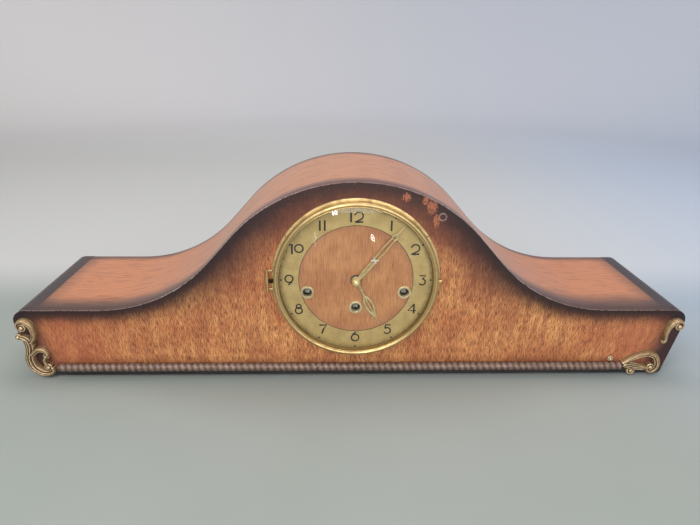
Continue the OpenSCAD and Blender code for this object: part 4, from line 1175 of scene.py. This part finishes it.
NUT_LOW, NUT_HIGH = box_mm("hand_nut")
NUT_R = NUT_HIGH.x - 0.05
NUT_BORE, NUT_FLOOR = 1.65, NUT_HIGH.y - 2.95
NUT_STEP = NUT_HIGH.y - 0.9
nut_profile = [(NUT_BORE, NUT_HIGH.y), (NUT_R, NUT_HIGH.y), (NUT_R, NUT_STEP)]
nut_profile += [
    (NUT_R * math.cos(a), NUT_STEP - (NUT_STEP - NUT_LOW.y) * math.sin(a))
    for a in map(math.radians, range(10, 90, 10))
]
nut_profile += [(0, NUT_LOW.y), (0, NUT_FLOOR), (NUT_BORE, NUT_FLOOR)]
nut = piece("domed_nut", *lathe(nut_profile, steps=48), NUT_BRASS, "minute", "hand_brass")
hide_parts("hand_nut")

# Dark ring round the hole that the hands' arbors come through: painted shade, standing in for the shadow
# round the hands' hub
hub_shade_profile = lathe([(4.05, DIAL_Y), (5.6, DIAL_Y), (5.5, DIAL_Y - 0.25), (4.2, DIAL_Y - 0.3)], steps=48)
piece("hub_shade_ring", *hub_shade_profile, IRON, "case", "hand_brass")


# ---------- floor, light and camera ----------


def floor():
    """A round floor whose far edge curves up into a low wall, the same from every side."""
    size, turn_r, wall = 2600.0, 700.0, 1500.0
    outline = [(r, 0.0) for r in (0.0, 400.0, 800.0, 1200.0, size - turn_r)]
    outline += [
        (size - turn_r + turn_r * math.sin(a), turn_r * (1 - math.cos(a)))
        for a in map(math.radians, range(6, 91, 6))
    ]
    outline.append((size, wall))
    verts, faces = lathe([(r, -z) for r, z in outline], (0, 0), 96, closed=False)
    verts = [(x, z, -y) for x, y, z in verts]
    mesh = bpy.data.meshes.new("floor")
    mesh.from_pydata([tuple(c * MM for c in v) for v in verts], [], faces)
    shade_smooth(mesh)
    made = add_to_scene("floor", mesh)
    p = Paint("floor_paint", Specular_IOR_Level=0.2)
    cloud = p.noise(p.x / 300, p.y / 300, 0.0, 3.0)
    front = p.mix(p.fade(cloud, 0.3, 0.7), linear(146, 152, 147), linear(152, 156, 152))
    front = p.mix(p.fade(p.x + p.y * 0.6, 100.0, 700.0), front, linear(160, 172, 188))
    middle = p.mix(p.fade(p.x, 100.0, 900.0), linear(193, 192, 191), linear(188, 197, 214))
    wall = p.mix(p.fade(p.x, -1500.0, 1500.0), linear(228, 224, 224), linear(210, 213, 224))
    far = p.mix(p.fade(p.y, 900.0, 2200.0), middle, wall)
    shade = p.mix(p.fade(p.y, 90.0, 260.0), front, far)
    mesh.materials.append(p.finish(shade, 0.6 + cloud * 0.1))


floor()


def world():
    """Even light from all round, paler towards the top."""
    made = bpy.data.worlds.new("studio")
    bpy.context.scene.world = made
    made.use_nodes = True
    tree = made.node_tree
    background = tree.nodes["Background"]
    place = tree.nodes.new("ShaderNodeTexCoord").outputs["Generated"]
    ramp = tree.nodes.new("ShaderNodeValToRGB")
    low, high = ramp.color_ramp.elements
    low.position, low.color = 0.0, linear(190, 198, 208)
    high.position, high.color = 0.6, linear(246, 246, 244)
    tree.links.new(split(tree, place)[2], ramp.inputs[0])
    tree.links.new(ramp.outputs[0], background.inputs["Color"])
    background.inputs["Strength"].default_value = 0.62


world()


def softbox(name, at, aim, size, power):
    """A lamp, in metres, hidden from the camera."""
    light = bpy.data.lights.new(name, "AREA")
    light.shape = "RECTANGLE"
    light.size, light.size_y = size
    light.energy = power
    made = add_to_scene(name, light)
    made.visible_camera = False
    made.location = at
    made.rotation_euler = (Vector(aim) - Vector(at)).to_track_quat("-Z", "Y").to_euler()
    return made


softbox("key_light", (-0.7, -1.3, 1.5), (0, 0, 0.1), (1.2, 0.9), 20)
softbox("front_light", (0.3, -1.9, 0.6), (0, 0, 0.08), (1.8, 0.6), 22)
softbox("top_light", (0.2, 0.4, 1.9), (0, 0, 0.1), (1.6, 0.8), 15)


def glint(name, at, size, power):
    """A small lamp that only shows as a highlight on glass and metal."""
    made = softbox(name, at, (0, 0, 0.15), size, power)
    made.visible_diffuse = False


glint("left_glint", (-0.113, -0.97, 0.24), (0.04, 0.03), 0.2)
glint("right_glint", (0.143, -0.966, 0.071), (0.026, 0.05), 0.12)
glint("edge_glint", (-0.242, -0.949, 0.052), (0.012, 0.11), 0.02)


def camera():
    """The place, heading and lens that were fitted to the photo's outlines."""
    eye = Vector((-22.06, -564.05, 326.09)) * MM
    made = add_to_scene("camera", bpy.data.cameras.new("camera"))
    made.data.sensor_width = 36
    made.data.lens = 28.43
    made.data.clip_start, made.data.clip_end = 0.01, 60
    yaw, pitch, roll = (math.radians(d) for d in (1.839, 21.739, 0.7745))
    ahead = Vector((math.sin(yaw) * math.cos(pitch), math.cos(yaw) * math.cos(pitch), -math.sin(pitch)))
    level = Vector((math.cos(yaw), -math.sin(yaw), 0))
    above = level.cross(ahead)
    right = math.cos(roll) * level + math.sin(roll) * above
    up = -math.sin(roll) * level + math.cos(roll) * above
    turn = Matrix((right, up, -ahead)).transposed()
    made.matrix_world = Matrix.Translation(eye) @ turn.to_4x4()
    bpy.context.scene.camera = made


camera()
bpy.context.scene.view_settings.view_transform = "Standard"
